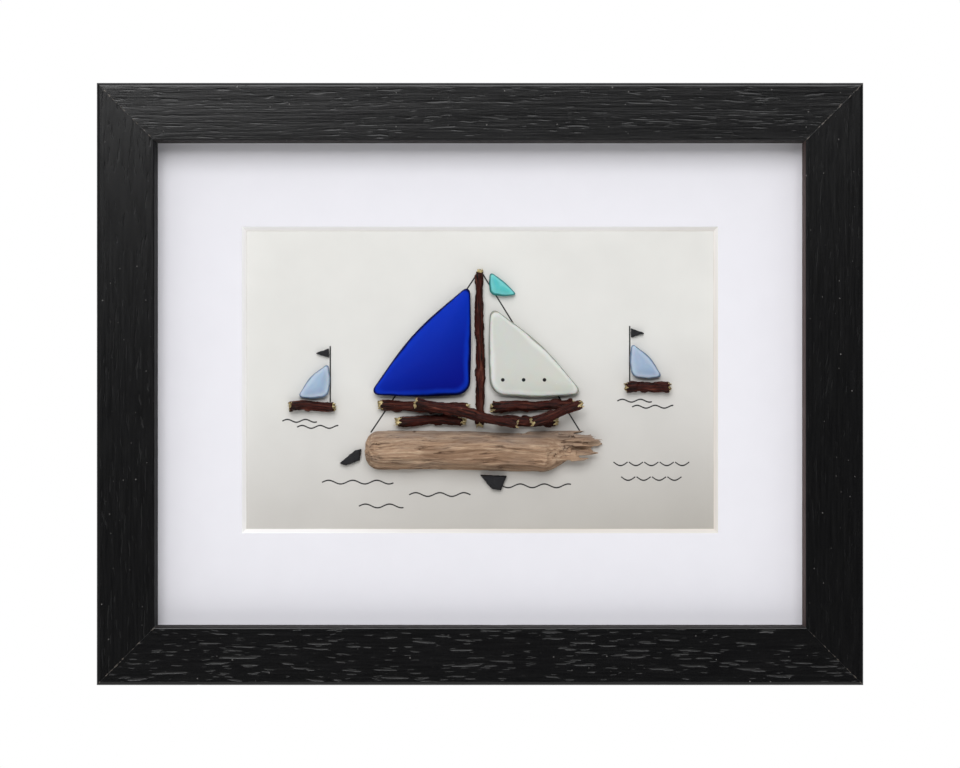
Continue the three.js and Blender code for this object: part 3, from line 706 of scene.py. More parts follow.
def penStrokeGroup():
    # 1 inside a stroke and 0 outside. The stroke is a straight or waving line with round ends.
    tree = bpy.data.node_groups.new("penStroke", "ShaderNodeTree")
    for label in ("Place", "Start", "End", "Wave Height", "Wave Length", "Width"):
        kind = "NodeSocketVector" if label in ("Place", "Start", "End") else "NodeSocketFloat"
        tree.interface.new_socket(label, in_out="INPUT", socket_type=kind)
    tree.interface.new_socket("Ink", in_out="OUTPUT", socket_type="NodeSocketFloat")
    add = partial(addNode, tree)
    given = add("NodeGroupInput").outputs
    point = add("VectorMath", (given["Place"], given["Start"]), "SUBTRACT")
    run = add("VectorMath", (given["End"], given["Start"]), "SUBTRACT")
    length = add("VectorMath", [run], "LENGTH")
    way = add("VectorMath", [run], "NORMALIZE")
    across = add("VectorMath", (way, (0, 1, 0)), "CROSS_PRODUCT")
    ahead = add("VectorMath", (point, way), "DOT_PRODUCT")
    within = add("Clamp", (ahead, 0.0, length))
    turns = add("Math", (within, given["Wave Length"]), "DIVIDE")
    angle = add("Math", (turns, math.tau), "MULTIPLY")
    swing = add("Math", [angle], "SINE")
    sway = add("Math", (swing, given["Wave Height"]), "MULTIPLY")
    along = add("VectorMath", (way, within), "SCALE")
    aside = add("VectorMath", (across, sway), "SCALE")
    nib = add("VectorMath", (along, aside), "ADD")
    gap = add("VectorMath", (point, nib), "SUBTRACT")
    flat = add("VectorMath", (gap, (1, 0, 1)), "MULTIPLY")
    distance = add("VectorMath", [flat], "LENGTH")
    half = add("Math", (given["Width"], 0.5), "MULTIPLY")
    over = add("Math", (half, distance), "SUBTRACT")
    mark = add("MapRange", (over, -ink["edge"], ink["edge"]), "SMOOTHSTEP")
    add("NodeGroupOutput", {"Ink": mark})
    return tree


strokeGroup = penStrokeGroup()


def inkOver(add, place, strokes, paper, colour):  # each stroke as above, with its width
    marks = [add("Group", (place, *stroke), node_tree=strokeGroup) for stroke in strokes]
    total = reduce(lambda total, mark: add("Math", (total, mark), "MAXIMUM"), marks)
    return add("Mix", (total, paper, colour), "RGBA")


def buildCard():
    # Smooth off-white card with painted shade: warm grey deepening towards the lower right, as if lit from
    # the upper left
    material, shader, add = newMaterial("shadedArtCard", Roughness=0.82, Specular_IOR_Level=0.3)
    place = add("TexCoord").outputs["Object"]
    centred = add("VectorMath", (place, windowMiddle), "SUBTRACT")
    halves = (1 / (mat["windowWidth"] / 2), 0, 1 / (mat["windowHeight"] / 2))
    shares = add("VectorMath", (centred, halves), "MULTIPLY")
    fall = add("VectorMath", (shares, (0.12, 0, -0.5)), "DOT_PRODUCT")
    # Painted shade: the card's tone falls from pale at the upper left to warm grey at the lower right
    cardShade = add("ValToRGB", [add("MapRange", (fall, -0.62, 0.62))])
    greys = ((0.0, "#e8e7e3"), (1.0, "#b5b1aa"), (0.45, "#e3e2de"), (0.62, "#d9d7d3"), (0.8, "#cbc8c3"))
    setStops(cardShade, *greys)
    cloud = unevenness(add, place, (16, 16, 16), detail=3)
    lift = add("MapRange", (cloud, *noiseSpread, 0.975, 1.025))
    paper = add("VectorMath", (cardShade, lift), "SCALE")
    strokes = [(*stroke, ink["width"]) for stroke in penStrokes()]
    tooth = unevenness(add, place, (0.5, 0.5, 0.5), detail=3)
    bump = add("Bump", {"Height": tooth, "Strength": 0.2, "Distance": 0.05 * mm})
    feed(shader, {"Base Color": inkOver(add, place, strokes, paper, "#1b1a1c"), "Normal": bump})
    coat(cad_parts["backing_card"], material)


buildCard()
print("card made")


# Back of the frame: board, toothed hanger, pins and fixing tabs

backing = {"hangerEdge": 0.12 * mm, "tabEdge": 0.1 * mm, "pinEdge": 0.08 * mm}


def pressedFibreboard():
    # Brown pressed fibreboard: matt, with small flecks and specks pressed flat
    material, shader, add = newMaterial("pressedFibreboard", Roughness=0.86, Specular_IOR_Level=0.3)
    place = add("TexCoord").outputs["Object"]
    bend = unevenness(add, place, (4, 4, 4), seed=9.0, detail=2)
    bent = add("VectorMath", ((1, 0, -1), bend), "SCALE")
    way = add("VectorMath", (bent, [6 * mm] * 3, place), "MULTIPLY_ADD")
    fleck = unevenness(add, way, (1.7, 1.7, 0.6), detail=4, roughness=0.62)
    cross = unevenness(add, way, (0.7, 0.7, 0.7), seed=3.0, detail=3, roughness=0.62)
    cloud = unevenness(add, place, (28, 28, 28), seed=6.0, detail=2)
    both = add("Math", (fleck, cross), "ADD")
    share = add("MapRange", (both, 0.72, 1.28))
    fibres = add("Mix", (share, "#6c4f33", "#a58458"), "RGBA")
    soft = add("MapRange", (cloud, *noiseSpread, 0.86, 1.06))
    tone = add("VectorMath", (fibres, soft), "SCALE")
    bump = add("Bump", {"Height": both, "Strength": 0.3, "Distance": 0.1 * mm})
    feed(shader, {"Base Color": tone, "Normal": bump})
    return material


def zincPlatedSteel():
    # Bright zinc plate on pressed steel: soft mirror with rolling lines and faint bluish bloom
    material, shader, add = newMaterial("zincPlatedSteel", Metallic=1.0)
    place = add("TexCoord").outputs["Object"]
    lines = unevenness(add, place, (7, 0.16, 0.16), detail=2)
    bloom = unevenness(add, place, (3, 3, 3), seed=2.0, detail=3)
    tone = add("Mix", (bloom, "#b7b9bd", "#cfcbc0"), "RGBA")
    rough = add("MapRange", (bloom, *noiseSpread, 0.26, 0.44))
    bump = add("Bump", {"Height": lines, "Strength": 0.12, "Distance": 0.03 * mm})
    feed(shader, {"Base Color": tone, "Roughness": rough, "Normal": bump})
    return material


def easedCopy(node, name, edge, material):
    # The solid with its pressed edges rounded over
    piece = copyOf(node, name)
    faceOutwards(piece)
    bevel = piece.modifiers.new("pressedEdge", "BEVEL")
    bevel.width = edge
    bevel.segments = 3
    bevel.limit_method = "ANGLE"
    bevel.angle_limit = math.radians(40)
    bevel.harden_normals = True
    bakeModifiers(piece)
    coat(piece, material)
    settle(piece, node)


def buildBack():
    coat(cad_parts["back_board"], pressedFibreboard())
    steel = zincPlatedSteel()
    easedCopy("sawtooth_hanger", "toothed_hanger_strip", backing["hangerEdge"], steel)
    for side in ("left", "right"):
        easedCopy(f"hanger_pin_{side}", f"hanger_nail_{side}", backing["pinEdge"], steel)
    for place in ("top_1", "top_2", "bottom_1", "bottom_2", "left", "right"):
        easedCopy(f"fixing_tab_{place}", f"steel_tab_{place}", backing["tabEdge"], steel)


buildBack()
print("back made")


# Driftwood hull: the solid remeshed finely, then weathered along its grain, with torn fibres at the bow

driftwood = {
    "bodyVoxel": 0.34 * mm,
    "voxel": 0.24 * mm,
    "bodySmoothing": 16,
    "furrowDepth": 0.5 * mm,
    "crackDepth": 0.55 * mm,
    "swell": 1.5 * mm,
    "inset": 0.2 * mm,
    "splinters": 34,
    "splinterLength": (5 * mm, 13 * mm),
    "splinterWidth": (0.35 * mm, 1.0 * mm),
}


def wanderingGrain(add, place):
    return wander(add, place, (26, 9, 9), (5, 2.4, 2.4), 5.5, "Z")


def grainCracks(add, place):
    # 1 along thin lines that follow the grain, in patches
    field = unevenness(add, place, (30, 1.9, 1.9), seed=4.0, detail=2)
    off = add("Math", (field, 0.5), "SUBTRACT")
    near = add("Math", [off], "ABSOLUTE")
    line = add("MapRange", (near, 0.03, 0.004), "SMOOTHSTEP")
    where = unevenness(add, place, (9, 4, 4), seed=5.0, detail=1)
    share = add("MapRange", (where, 0.46, 0.6))
    return add("Math", (line, share), "MULTIPLY")


def weatheredDriftwood():
    # Sun-bleached softwood worn by sea and sand: matt, pinkish brown, greyed on top, dark in the cracks, with
    # painted shade towards the bottom
    material, shader, add = newMaterial("weatheredDriftwood", Roughness=0.92, Specular_IOR_Level=0.15)
    spot = add("TexCoord").outputs["Object"]
    place = wanderingGrain(add, spot)
    streak = unevenness(add, place, (22, 1.0, 1.0), seed=6.0, detail=5, roughness=0.66)
    fine = unevenness(add, place, (3.2, 0.22, 0.22), seed=7.0, detail=3, roughness=0.6)
    cloud = unevenness(add, place, (13, 3.5, 3.5), seed=8.0, detail=3)
    pits = unevenness(add, spot, (0.9, 0.4, 0.4), seed=9.0, detail=2)
    stain = unevenness(add, place, (36, 3.4, 3.4), seed=10.0, detail=2)
    ramp = add("ValToRGB", [streak])
    setStops(ramp, (0.3, "#8c6f58"), (0.74, "#e2cbaf"), (0.43, "#aa8b71"), (0.55, "#c6a88d"))
    height = add("SeparateXYZ", [spot]).outputs["Z"]
    middle = (hullLow.z + hullHigh.z) / 2
    upper = add("MapRange", (height, middle + 0.5 * mm, middle + 6 * mm, 0.0, 0.55))
    patch = add("MapRange", (cloud, 0.42, 0.66, -0.15, 0.4))
    grey = add("Math", (upper, patch), "ADD", use_clamp=True)
    greyed = add("Mix", (grey, ramp, "#91857c"), "RGBA")
    # Painted shade: the lower part of the log is darker
    lower = add("MapRange", (height, middle - 6 * mm, middle - 1.5 * mm, 0.82, 1.0))
    tone = add("VectorMath", (greyed, lower), "SCALE")
    groove = add("Attribute", attribute_name="grooveDepth").outputs["Fac"]
    dark = add("Math", (groove, 0.3, grainCracks(add, place)), "MULTIPLY_ADD")
    for share, colour in (
        (add("MapRange", (stain, 0.52, 0.66, 0.0, 0.45)), "#7f6450"),
        (add("MapRange", (fine, 0.54, 0.7, 0.0, 0.5)), "#765a48"),
        (add("Math", (dark, 0.75), "MULTIPLY", use_clamp=True), "#4f3b2f"),
    ):
        tone = add("Mix", (share, tone, colour), "RGBA")
    fibres = add("Math", (streak, 0.8, fine), "MULTIPLY_ADD")
    relief = add("Math", (pits, 0.5, fibres), "MULTIPLY_ADD")
    bump = add("Bump", {"Height": relief, "Strength": 0.7, "Distance": 0.3 * mm})
    feed(shader, {"Base Color": tone, "Normal": bump})
    return material


def weatherTree(material):
    # Wears furrows, cracks and soft hollows into wood whose grain runs along x. The glued back stays flat.
    tree, add, given = newTree(
        "weathering",
        {
            "Furrow Depth": 0.0005,
            "Crack Depth": 0.0005,
            "Swell": 0.001,
            "Back": 0.0,
            "Seed": 0.0,
            "Wood": material,
        },
    )
    spot = add("GeometryNodeInputPosition")
    place = wanderingGrain(add, spot)
    furrow = unevenness(add, place, (24, 1.25, 1.25), seed=given["Seed"], detail=5, roughness=0.62)
    hollow = unevenness(add, spot, (14, 6, 6), seed=given["Seed"], detail=2)
    furrows = add("MapRange", (furrow, 0.66, 0.34), "SMOOTHSTEP")
    hollows = add("MapRange", (hollow, *noiseSpread))
    worn = add("Math", (furrows, given["Furrow Depth"]), "MULTIPLY")
    split = add("Math", (grainCracks(add, place), given["Crack Depth"], worn), "MULTIPLY_ADD")
    sunk = add("Math", (hollows, given["Swell"], split), "MULTIPLY_ADD")
    apart = add("SeparateXYZ", [spot]).outputs
    behind = add("Math", (given["Back"], apart["Y"]), "SUBTRACT")
    free = add("MapRange", (behind, 0.1 * mm, 1.2 * mm))
    torn = add("MapRange", (apart["X"], hullHigh.x - 22 * mm, hullHigh.x - 10 * mm, 1.0, 0.25))
    masked = add("Math", (free, torn), "MULTIPLY")
    inward = add("Math", (sunk, masked), "MULTIPLY")
    back = add("Math", (inward, -1.0), "MULTIPLY")
    move = add("VectorMath", (add("GeometryNodeInputNormal"), back), "SCALE")
    marked = storeField(add, given["Geometry"], "grooveDepth", furrows)
    closeTree(add, marked, move, {"Material": given["Wood"]})
    return tree


def bowSplinters():
    # Flat splinters that run out of the torn bow, each a closed tapering blade
    draw = np.random.default_rng(11)
    points, faces = [], []
    for _ in range(driftwood["splinters"]):
        length = draw.uniform(*driftwood["splinterLength"])
        width = draw.uniform(*driftwood["splinterWidth"])
        level = hullHigh.z - 1.6 * mm - draw.random() * 7.4 * mm
        reach = 3 * mm + 9 * mm * draw.random() ** 0.7  # those in the middle of the bow run out furthest
        reach *= 1 - abs(level - (hullHigh.z - 4.6 * mm)) / (7.5 * mm)
        tip = Vector((hullHigh.x - 9.5 * mm + reach, cardFront - 1.4 * mm - draw.random() * 3.4 * mm, level))
        root = tip + Vector((-length, -0.4 * mm, draw.uniform(-0.7, 0.4) * mm))
        rings = []
        for share, size in ((0, 1), (0.4, 1), (0.7, 0.75), (0.9, 0.5), (1, 0.3)):
            middle = root.lerp(tip, share) + Vector((0, 0, 0.25 * mm * draw.uniform(-1, 1)))
            turns = [math.tau * k / 8 for k in range(8)]
            around = [(0, 0.6 * width * size * math.cos(t), width * size * math.sin(t)) for t in turns]
            rings.append([middle + Vector(way) for way in around])
        bladePoints, bladeFaces = skin(rings)
        faces += [tuple(i + len(points) for i in face) for face in bladeFaces]
        points += bladePoints
    return points, faces


def remeshed(piece, voxel, smoothing=0):
    remesh = piece.modifiers.new("evenMesh", "REMESH")
    remesh.mode = "VOXEL"
    remesh.voxel_size = voxel
    if smoothing:
        smooth = piece.modifiers.new("soften", "SMOOTH")
        smooth.factor = 0.5
        smooth.iterations = smoothing
    bakeModifiers(piece)


def keepLargestShell(piece):  # a remesh leaves single loose cells beside the thinnest tips
    with editing(piece) as shape:
        shells, seen = [], set()
        for start in shape.verts:
            if start in seen:
                continue
            seen.add(start)
            shell = [start]
            for v in shell:  # the list grows while it is walked
                near = {edge.other_vert(v) for edge in v.link_edges} - seen
                seen |= near
                shell += near
            shells.append(shell)
        shells.sort(key=len)
        loose = [v for shell in shells[:-1] for v in shell]
        bmesh.ops.delete(shape, geom=loose, context="VERTS")


def buildDriftwood():
    hull = copyOf("driftwood_hull", "driftwood_log")
    middle = (hullLow + hullHigh) / 2
    back = hullHigh.y
    shrink = [(size - 2 * driftwood["inset"]) / size for size in hullHigh - hullLow]
    for v in hull.data.vertices:  # leaves room for what the weathering adds
        v.co.x = middle.x + (v.co.x - middle.x) * shrink[0]
        v.co.z = middle.z + (v.co.z - middle.z) * shrink[2]
        v.co.y = back + (v.co.y - back) * shrink[1]
    remeshed(hull, driftwood["bodyVoxel"], driftwood["bodySmoothing"])
    splinters = newPiece("bowSplinters", *bowSplinters())
    faceOutwards(splinters)
    with editing(hull) as shape:
        shape.from_mesh(splinters.data)
    bpy.data.objects.remove(splinters)
    remeshed(hull, driftwood["voxel"], 1)
    keepLargestShell(hull)
    values = {
        "Furrow Depth": driftwood["furrowDepth"],
        "Crack Depth": driftwood["crackDepth"],
        "Swell": driftwood["swell"],
        "Back": back,
        "Seed": 3.1,
    }
    growWith(hull, weatherTree(weatheredDriftwood()), values)
    for v in hull.data.vertices:  # nothing reaches behind the card or out of the solid's box
        v.co = [min(max(c, low), high) for c, low, high in zip(v.co, hullLow, hullHigh)]
    hull.data.shade_smooth()
    settle(hull, "driftwood_hull")


buildDriftwood()
print("driftwood made")


# Twigs: each grows along a line with ridged bark, knots, and a snapped end of bare wood

twig = {
    "step": 0.24 * mm,
    "sides": 48,
    "taper": 0.1,
    "peeledLength": (0.5 * mm, 2.4 * mm),
    "peeledRadius": 0.72,
    "ridgeDepth": 0.26 * mm,
    "flake": 0.14 * mm,
    "knotHeight": 0.5 * mm,
    "wave": 0.24 * mm,
    "jag": 1.6 * mm,
    "bend": 1.1 * mm,
}


def redTwigBark():
    # Bark: thin, dark red-brown and slightly shiny, with pale lenticels and dark cracks along it
    material, shader, add = newMaterial("redTwigBark", Specular_IOR_Level=0.16)
    place = add("Attribute", attribute_name="barkPlace").outputs["Vector"]
    ridge = add("Attribute", attribute_name="ridge").outputs["Fac"]
    crack = unevenness(add, place, (0.35, 0.35, 5), detail=4, roughness=0.6)
    patch = unevenness(add, place, (1.5, 1.5, 6), seed=3.0, detail=3)
    spots = unevenness(add, place, (0.3, 0.3, 0.45), seed=6.0, detail=1)
    tone = add("Mix", (patch, "#210704", "#4a190f"), "RGBA")
    for field, low, high, most, colour in (
        (ridge, 0.5, 0.72, 0.6, "#7c4637"),
        (crack, 0.5, 0.57, 0.95, "#110504"),
        (spots, 0.72, 0.8, 0.6, "#9a7a68"),
    ):
        share = add("MapRange", (field, low, high, 0.0, most))
        tone = add("Mix", (share, tone, colour), "RGBA")
    shine = add("MapRange", (patch, *noiseSpread, 0.45, 0.7))
    bump = add("Bump", {"Height": crack, "Strength": 0.8, "Distance": 0.3 * mm}, invert=True)
    feed(shader, {"Base Color": tone, "Roughness": shine, "Normal": bump})
    return material


def snappedSapwood():
    # Bare wood: pale yellow sapwood, snapped into fibres
    material, shader, add = newMaterial("snappedSapwood", Roughness=0.8, Specular_IOR_Level=0.3)
    place = add("Attribute", attribute_name="barkPlace").outputs["Vector"]
    fibre = unevenness(add, place, (0.25, 0.25, 3), detail=4)
    ramp = add("ValToRGB", [fibre])
    setStops(ramp, (0.3, "#8f6c3c"), (0.56, "#e3d3a0"))
    bump = add("Bump", {"Height": fibre, "Strength": 0.6, "Distance": 0.2 * mm})
    feed(shader, {"Base Color": ramp, "Normal": bump})
    return material


def twigTree(bark, bare):
    tree, add, given = newTree(
        "barkTwig",
        {
            "Radius": 0.0016,
            "Taper": 0.1,
            "Peeled Length": 0.002,
            "Peeled Radius": 0.8,
            "Ridge Depth": 0.0001,
            "Flake": 0.0001,
            "Knot Height": 0.0003,
            "Wave": 0.0001,
            "Jag": 0.001,
            "Step": 0.0004,
            "Seed": 0.0,
            "Bark": bark,
            "Bare Wood": bare,
        },
    )

    def recall(name, kind="FLOAT"):
        return add("GeometryNodeInputNamedAttribute", [name], data_type=kind)

    line = add("GeometryNodeMeshToCurve", [given["Geometry"]])
    even = add("GeometryNodeResampleCurve", {"Curve": line, "Length": given["Step"]}, "LENGTH")
    whole = add("GeometryNodeCurveLength", [even])
    way = add("GeometryNodeSplineParameter").outputs
    placed = storeField(add, even, "along", way["Length"])
    aimed = storeField(add, placed, "wayAlong", add("GeometryNodeInputTangent"), "FLOAT_VECTOR")
    thinning = add("Math", (way["Factor"], given["Taper"]), "MULTIPLY")
    left = add("Math", (1.0, thinning), "SUBTRACT")
    radius = add("Math", (left, given["Radius"]), "MULTIPLY")
    circle = add("GeometryNodeCurvePrimitiveCircle", {"Resolution": twig["sides"], "Radius": 1.0})
    ring = storeField(add, circle, "turn", way["Factor"])
    tube = add("GeometryNodeCurveToMesh", (aimed, ring, radius, True))
    along, turn, axis = recall("along"), recall("turn"), recall("wayAlong", "FLOAT_VECTOR")
    angle = add("Math", (turn, math.tau), "MULTIPLY")
    around = [
        add("Math", (add("Math", [angle], kind), given["Radius"]), "MULTIPLY")
        for kind in ("COSINE", "SINE")
    ]
    unrolled = add("CombineXYZ", (*around, along))

    # Where the bark ends, in tatters
    seed = given["Seed"]
    tear = unevenness(add, unrolled, (0.9, 0.9, 60), seed=seed, detail=2)
    otherEnd = add("Math", (whole, along), "SUBTRACT")
    fromEnd = add("Math", (along, otherEnd), "MINIMUM")
    tearShift = add("MapRange", (tear, 0.25, 0.75, -1.5 * mm, 1.5 * mm))
    tornAt = add("Math", (fromEnd, tearShift), "ADD")
    start = add("Math", (given["Peeled Length"], 0.3 * mm), "ADD")
    torn = (tornAt, given["Peeled Length"], start)
    barked = add("MapRange", torn, "SMOOTHSTEP")

    # Ridges, flakes and knots lift the bark, and waves the whole twig
    ridges = unevenness(add, unrolled, (0.6, 0.6, 5.5), seed=seed, detail=3, roughness=0.6)
    scales = unevenness(add, unrolled, (1.0, 1.0, 2.2), seed=seed, detail=2)
    knots = unevenness(add, unrolled, (2.4, 2.4, 3.4), seed=seed, detail=0)
    waves = unevenness(add, unrolled, (9, 9, 7), seed=seed, detail=1)
    ridgeLift = add("MapRange", (ridges, 0.25, 0.75, -1.0, 0.9))
    flakes = add("MapRange", (scales, 0.52, 0.56), "SMOOTHSTEP")
    flaked = add("Math", (flakes, given["Flake"]), "MULTIPLY")
    lift = add("Math", (ridgeLift, given["Ridge Depth"], flaked), "MULTIPLY_ADD")
    knotShare = add("MapRange", (knots, 0.6, 0.76), "SMOOTHSTEP")
    bulge = add("Math", (knotShare, given["Knot Height"], lift), "MULTIPLY_ADD")
    barkLift = add("Math", (bulge, barked), "MULTIPLY")
    waveShare = add("MapRange", (waves, *noiseSpread, -1.0, 0.4))
    waved = add("Math", (waveShare, given["Wave"], barkLift), "MULTIPLY_ADD")
    thin = add("Math", (given["Peeled Radius"], 1.0), "SUBTRACT")
    bareShare = add("Math", (1.0, barked), "SUBTRACT")
    cutBack = add("Math", (thin, given["Radius"]), "MULTIPLY")
    offset = add("Math", (cutBack, bareShare, waved), "MULTIPLY_ADD")
    out = add("VectorMath", (add("GeometryNodeInputNormal"), offset), "SCALE")

    # The last stretch is pulled back in teeth, so each end is a torn brush of fibres
    fray = unevenness(add, unrolled, (0.5, 0.5, 60), seed=seed, detail=1)
    endShare = add("MapRange", (fromEnd, 0.0, 1.6 * mm, 1.0, 0.0))
    teeth = add("MapRange", (fray, *noiseSpread))
    pull = add("Math", (endShare, teeth), "MULTIPLY")
    pullBy = add("Math", (pull, given["Jag"]), "MULTIPLY")
    sideShare = add("Math", (otherEnd, along), "SUBTRACT")
    sign = add("Math", [sideShare], "SIGN")
    signed = add("Math", (pullBy, sign), "MULTIPLY")
    shift = add("VectorMath", (axis, signed), "SCALE")
    move = add("VectorMath", (out, shift), "ADD")

    body = storeField(add, tube, "barkPlace", unrolled, "FLOAT_VECTOR")
    body = storeField(add, body, "ridge", ridges)
    body = storeField(add, body, "barked", barked)
    isBare = add("Math", (recall("barked"), 0.5), "LESS_THAN")
    bareEnds = {"Selection": isBare, "Material": given["Bare Wood"]}
    closeTree(add, body, move, {"Material": given["Bark"]}, bareEnds)
    return tree


def twigLine(node, seed):
    # The middle line and radius of a twig's solid, with the line given a slight natural bend
    cloud = np.array([v.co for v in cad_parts[node].data.vertices])
    middle = cloud.mean(0)
    spread = np.linalg.svd(cloud - middle, full_matrices=False)[2][0]
    if spread[np.argmax(np.abs(spread))] < 0:
        spread = -spread
    reach = (cloud - middle) @ spread
    away = np.linalg.norm((cloud - middle) - np.outer(reach, spread), axis=1)
    radius = float(np.median(away[np.abs(reach) < 0.3 * np.ptp(reach)]))
    start, end = middle + spread * (reach.min() + 0.5 * mm), middle + spread * (reach.max() - 0.5 * mm)
    side = Vector(spread).cross(Vector((0, 1, 0))).normalized()
    steps = 24
    line = []
    for i in range(steps + 1):
        share = i / steps
        bend = math.sin(math.pi * share)
        sway = bend * noise.noise(Vector((share * 2.2, seed, 0.3))) * twig["bend"]
        lift = bend * noise.noise(Vector((share * 2.6, seed, 7.3))) * twig["bend"]
        point = Vector(start).lerp(Vector(end), share)
        line.append(point + side * lift + Vector((0, 0.4 * sway, 0)))
    return line, radius


def buildTwigs():
    tree = twigTree(redTwigBark(), snappedSapwood())
    names = [f"{kind}_twig_{side}" for kind in ("deck", "boom") for side in ("left", "right")]
    names += ["cross_twig_long", "cross_twig_short", "mast_twig", "left_dinghy_twig", "right_dinghy_twig"]
    draw = np.random.default_rng(5)
    for i, node in enumerate(names):
        seed = 2.7 + 5.3 * i
        line, radius = twigLine(node, seed)
        piece = newPiece(f"bark_{node}", line, [], [(k, k + 1) for k in range(len(line) - 1)])
        values = {
            "Radius": radius,
            "Taper": 0.2 if node == "mast_twig" else twig["taper"],
            "Peeled Length": float(draw.uniform(*twig["peeledLength"])),
            "Peeled Radius": twig["peeledRadius"],
            "Ridge Depth": twig["ridgeDepth"],
            "Flake": twig["flake"],
            "Knot Height": twig["knotHeight"],
            "Wave": twig["wave"],
            "Jag": twig["jag"],
            "Step": twig["step"],
            "Seed": seed,
        }
        growWith(piece, tree, values)
        piece.data.shade_smooth()
        settle(piece, node)


buildTwigs()
print("twigs made")


# Sea glass: tumbled lozenges, frosted all over, with painted shade as a darker rim and a painted glow just
# inside it

seaGlass = {
    "outlinePoints": 168,
    "edgeSteps": 20,
    "crownSteps": 16,
    "unevenness": 0.16 * mm,
    "crown": 0.2,  # how much of the thickness the front bulges
    "widest": 0.1,
    "paintedGlowWidth": 1.8 * mm,
    "eyelet": 1.1 * mm,
}
glassPieces = {
    "white_jib": {
        "slot": "white_glass",
        "rim": "#a3a89c",
        "glow": "#f1f3ee",
        "body": "#dddfd9",
        "deep": "#dfe0d7",  # painted shade towards the lower right
        "edge": 2.0 * mm,
        "shadedRimWidth": 0.7 * mm,
        "through": 0.15,
        "sheen": 0.15,
    },
    "cobalt_mainsail": {
        "slot": "cobalt_glass",
        "rim": "#030640",
        "glow": "#0c33b8",
        "body": "#0a36c0",
        "deep": "#041288",
        "edge": 2.2 * mm,
        "shadedRimWidth": 1.1 * mm,
        "through": 0.0,
        "sheen": 0.05,
    },
    "left_dinghy_sail": {
        "slot": "pale_blue_glass",
        "rim": "#768dab",
        "glow": "#c8d8ea",
        "body": "#b6cae0",
        "deep": "#a6bedc",
        "edge": 1.5 * mm,
        "shadedRimWidth": 0.6 * mm,
        "through": 0.15,
        "sheen": 0.15,
    },
    "right_dinghy_sail": {
        "slot": "pale_blue_glass",
        "rim": "#7289a7",
        "glow": "#c3d4e8",
        "body": "#b1c5dc",
        "deep": "#a2bad8",
        "edge": 1.5 * mm,
        "shadedRimWidth": 0.6 * mm,
        "through": 0.15,
        "sheen": 0.15,
    },
    "teal_pennant": {
        "slot": "teal_glass",
        "rim": "#2a8a8a",
        "glow": "#82dfdf",
        "body": "#5fcdd0",
        "deep": "#63d4cf",
        "edge": 1.2 * mm,
        "shadedRimWidth": 0.7 * mm,
        "through": 0.15,
        "sheen": 0.15,
    },
}


def frostedGlass(name, values, low, high, eyelets):
    # Soda glass etched by sand and salt: a dull even haze inside, minute pits that kill every reflection
    material, shader, add = newMaterial(
        name,
        Roughness=0.55,
        IOR=1.5,
        Transmission_Weight=values["through"],
        Subsurface_Weight=0.3,
        Subsurface_Scale=1.2 * mm,
        Specular_IOR_Level=values["sheen"],
    )
    place = add("TexCoord").outputs["Object"]
    fromRim = add("Attribute", attribute_name="fromRim").outputs["Fac"]
    cloud = unevenness(add, place, (6, 6, 6), detail=3)
    pits = unevenness(add, place, (0.3, 0.3, 0.3), seed=2.0, detail=3, roughness=0.6)
    specks = unevenness(add, place, (0.5, 0.5, 0.5), seed=7.0, detail=1)
    waver = add("MapRange", (cloud, *noiseSpread, -0.25 * mm, 0.25 * mm))
    wavering = add("Math", (fromRim, waver), "ADD")
    # Painted shade: the body darkens towards the lower right, as if lit from the upper left
    shadeWay = Vector((0.55, 0, -0.83))
    slope = add("VectorMath", (place, shadeWay), "DOT_PRODUCT")
    thin, shadedEnd = shadeWay.dot(Vector((low.x, 0, high.z))), shadeWay.dot(Vector((high.x, 0, low.z)))
    shadedRimWidth = values["shadedRimWidth"]
    glassShadeShare, glow, rim = (
        add("MapRange", limits, "SMOOTHSTEP")
        for limits in (
            (slope, thin * 0.8 + shadedEnd * 0.2, thin * 0.1 + shadedEnd * 0.9),
            (wavering, shadedRimWidth, shadedRimWidth + seaGlass["paintedGlowWidth"]),
            (wavering, 0.35 * shadedRimWidth, shadedRimWidth),
        )
    )
    tone = add("Mix", (glassShadeShare, values["body"], values["deep"]), "RGBA")
    # A painted glow just inside the rim, and painted shade as a dark band along the rim itself
    tone = add("Mix", (glow, values["glow"], tone), "RGBA")
    tone = add("Mix", (rim, values["rim"], tone), "RGBA")
    brighter = add("MapRange", (specks, 0.72, 0.8, 1.0, 1.16))
    tone = add("VectorMath", (tone, brighter), "SCALE")
    if eyelets:
        marks = [(spot, spot, 0.0, 0.01, seaGlass["eyelet"]) for spot in eyelets]
        tone = inkOver(add, place, marks, tone, "#151416")
    bump = add("Bump", {"Height": pits, "Strength": 0.35, "Distance": 0.06 * mm})
    feed(shader, {"Base Color": tone, "Normal": bump})
    return material


def widestOutline(node):
    # The solid's ring of widest points, in order round its middle, made smooth and even
    low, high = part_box(node)
    level = high.y - (1 - seaGlass["widest"]) * (high.y - low.y) / 2
    ring = {}
    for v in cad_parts[node].data.vertices:
        if abs(v.co.y - level) < 0.01 * mm:
            ring[(round(v.co.x, 7), round(v.co.z, 7))] = v.co
    spots = [Vector((p.x, p.z)) for p in ring.values()]
    middle = sum(spots, Vector((0, 0))) / len(spots)
    spots.sort(key=lambda p: math.atan2(p.y - middle.y, p.x - middle.x))
    count, total = len(spots), seaGlass["outlinePoints"]
    outline = []
    for i in range(total):
        t = i * count / total
        k, f = int(t), t - int(t)
        a, b, c, d = (spots[(k + n) % count] for n in (-1, 0, 1, 2))
        curve = (2 * b) + (c - a) * f + (2 * a - 5 * b + 4 * c - d) * f**2 + (3 * b - a - 3 * c + d) * f**3
        outline.append(curve / 2)
    return outline, middle, low, high


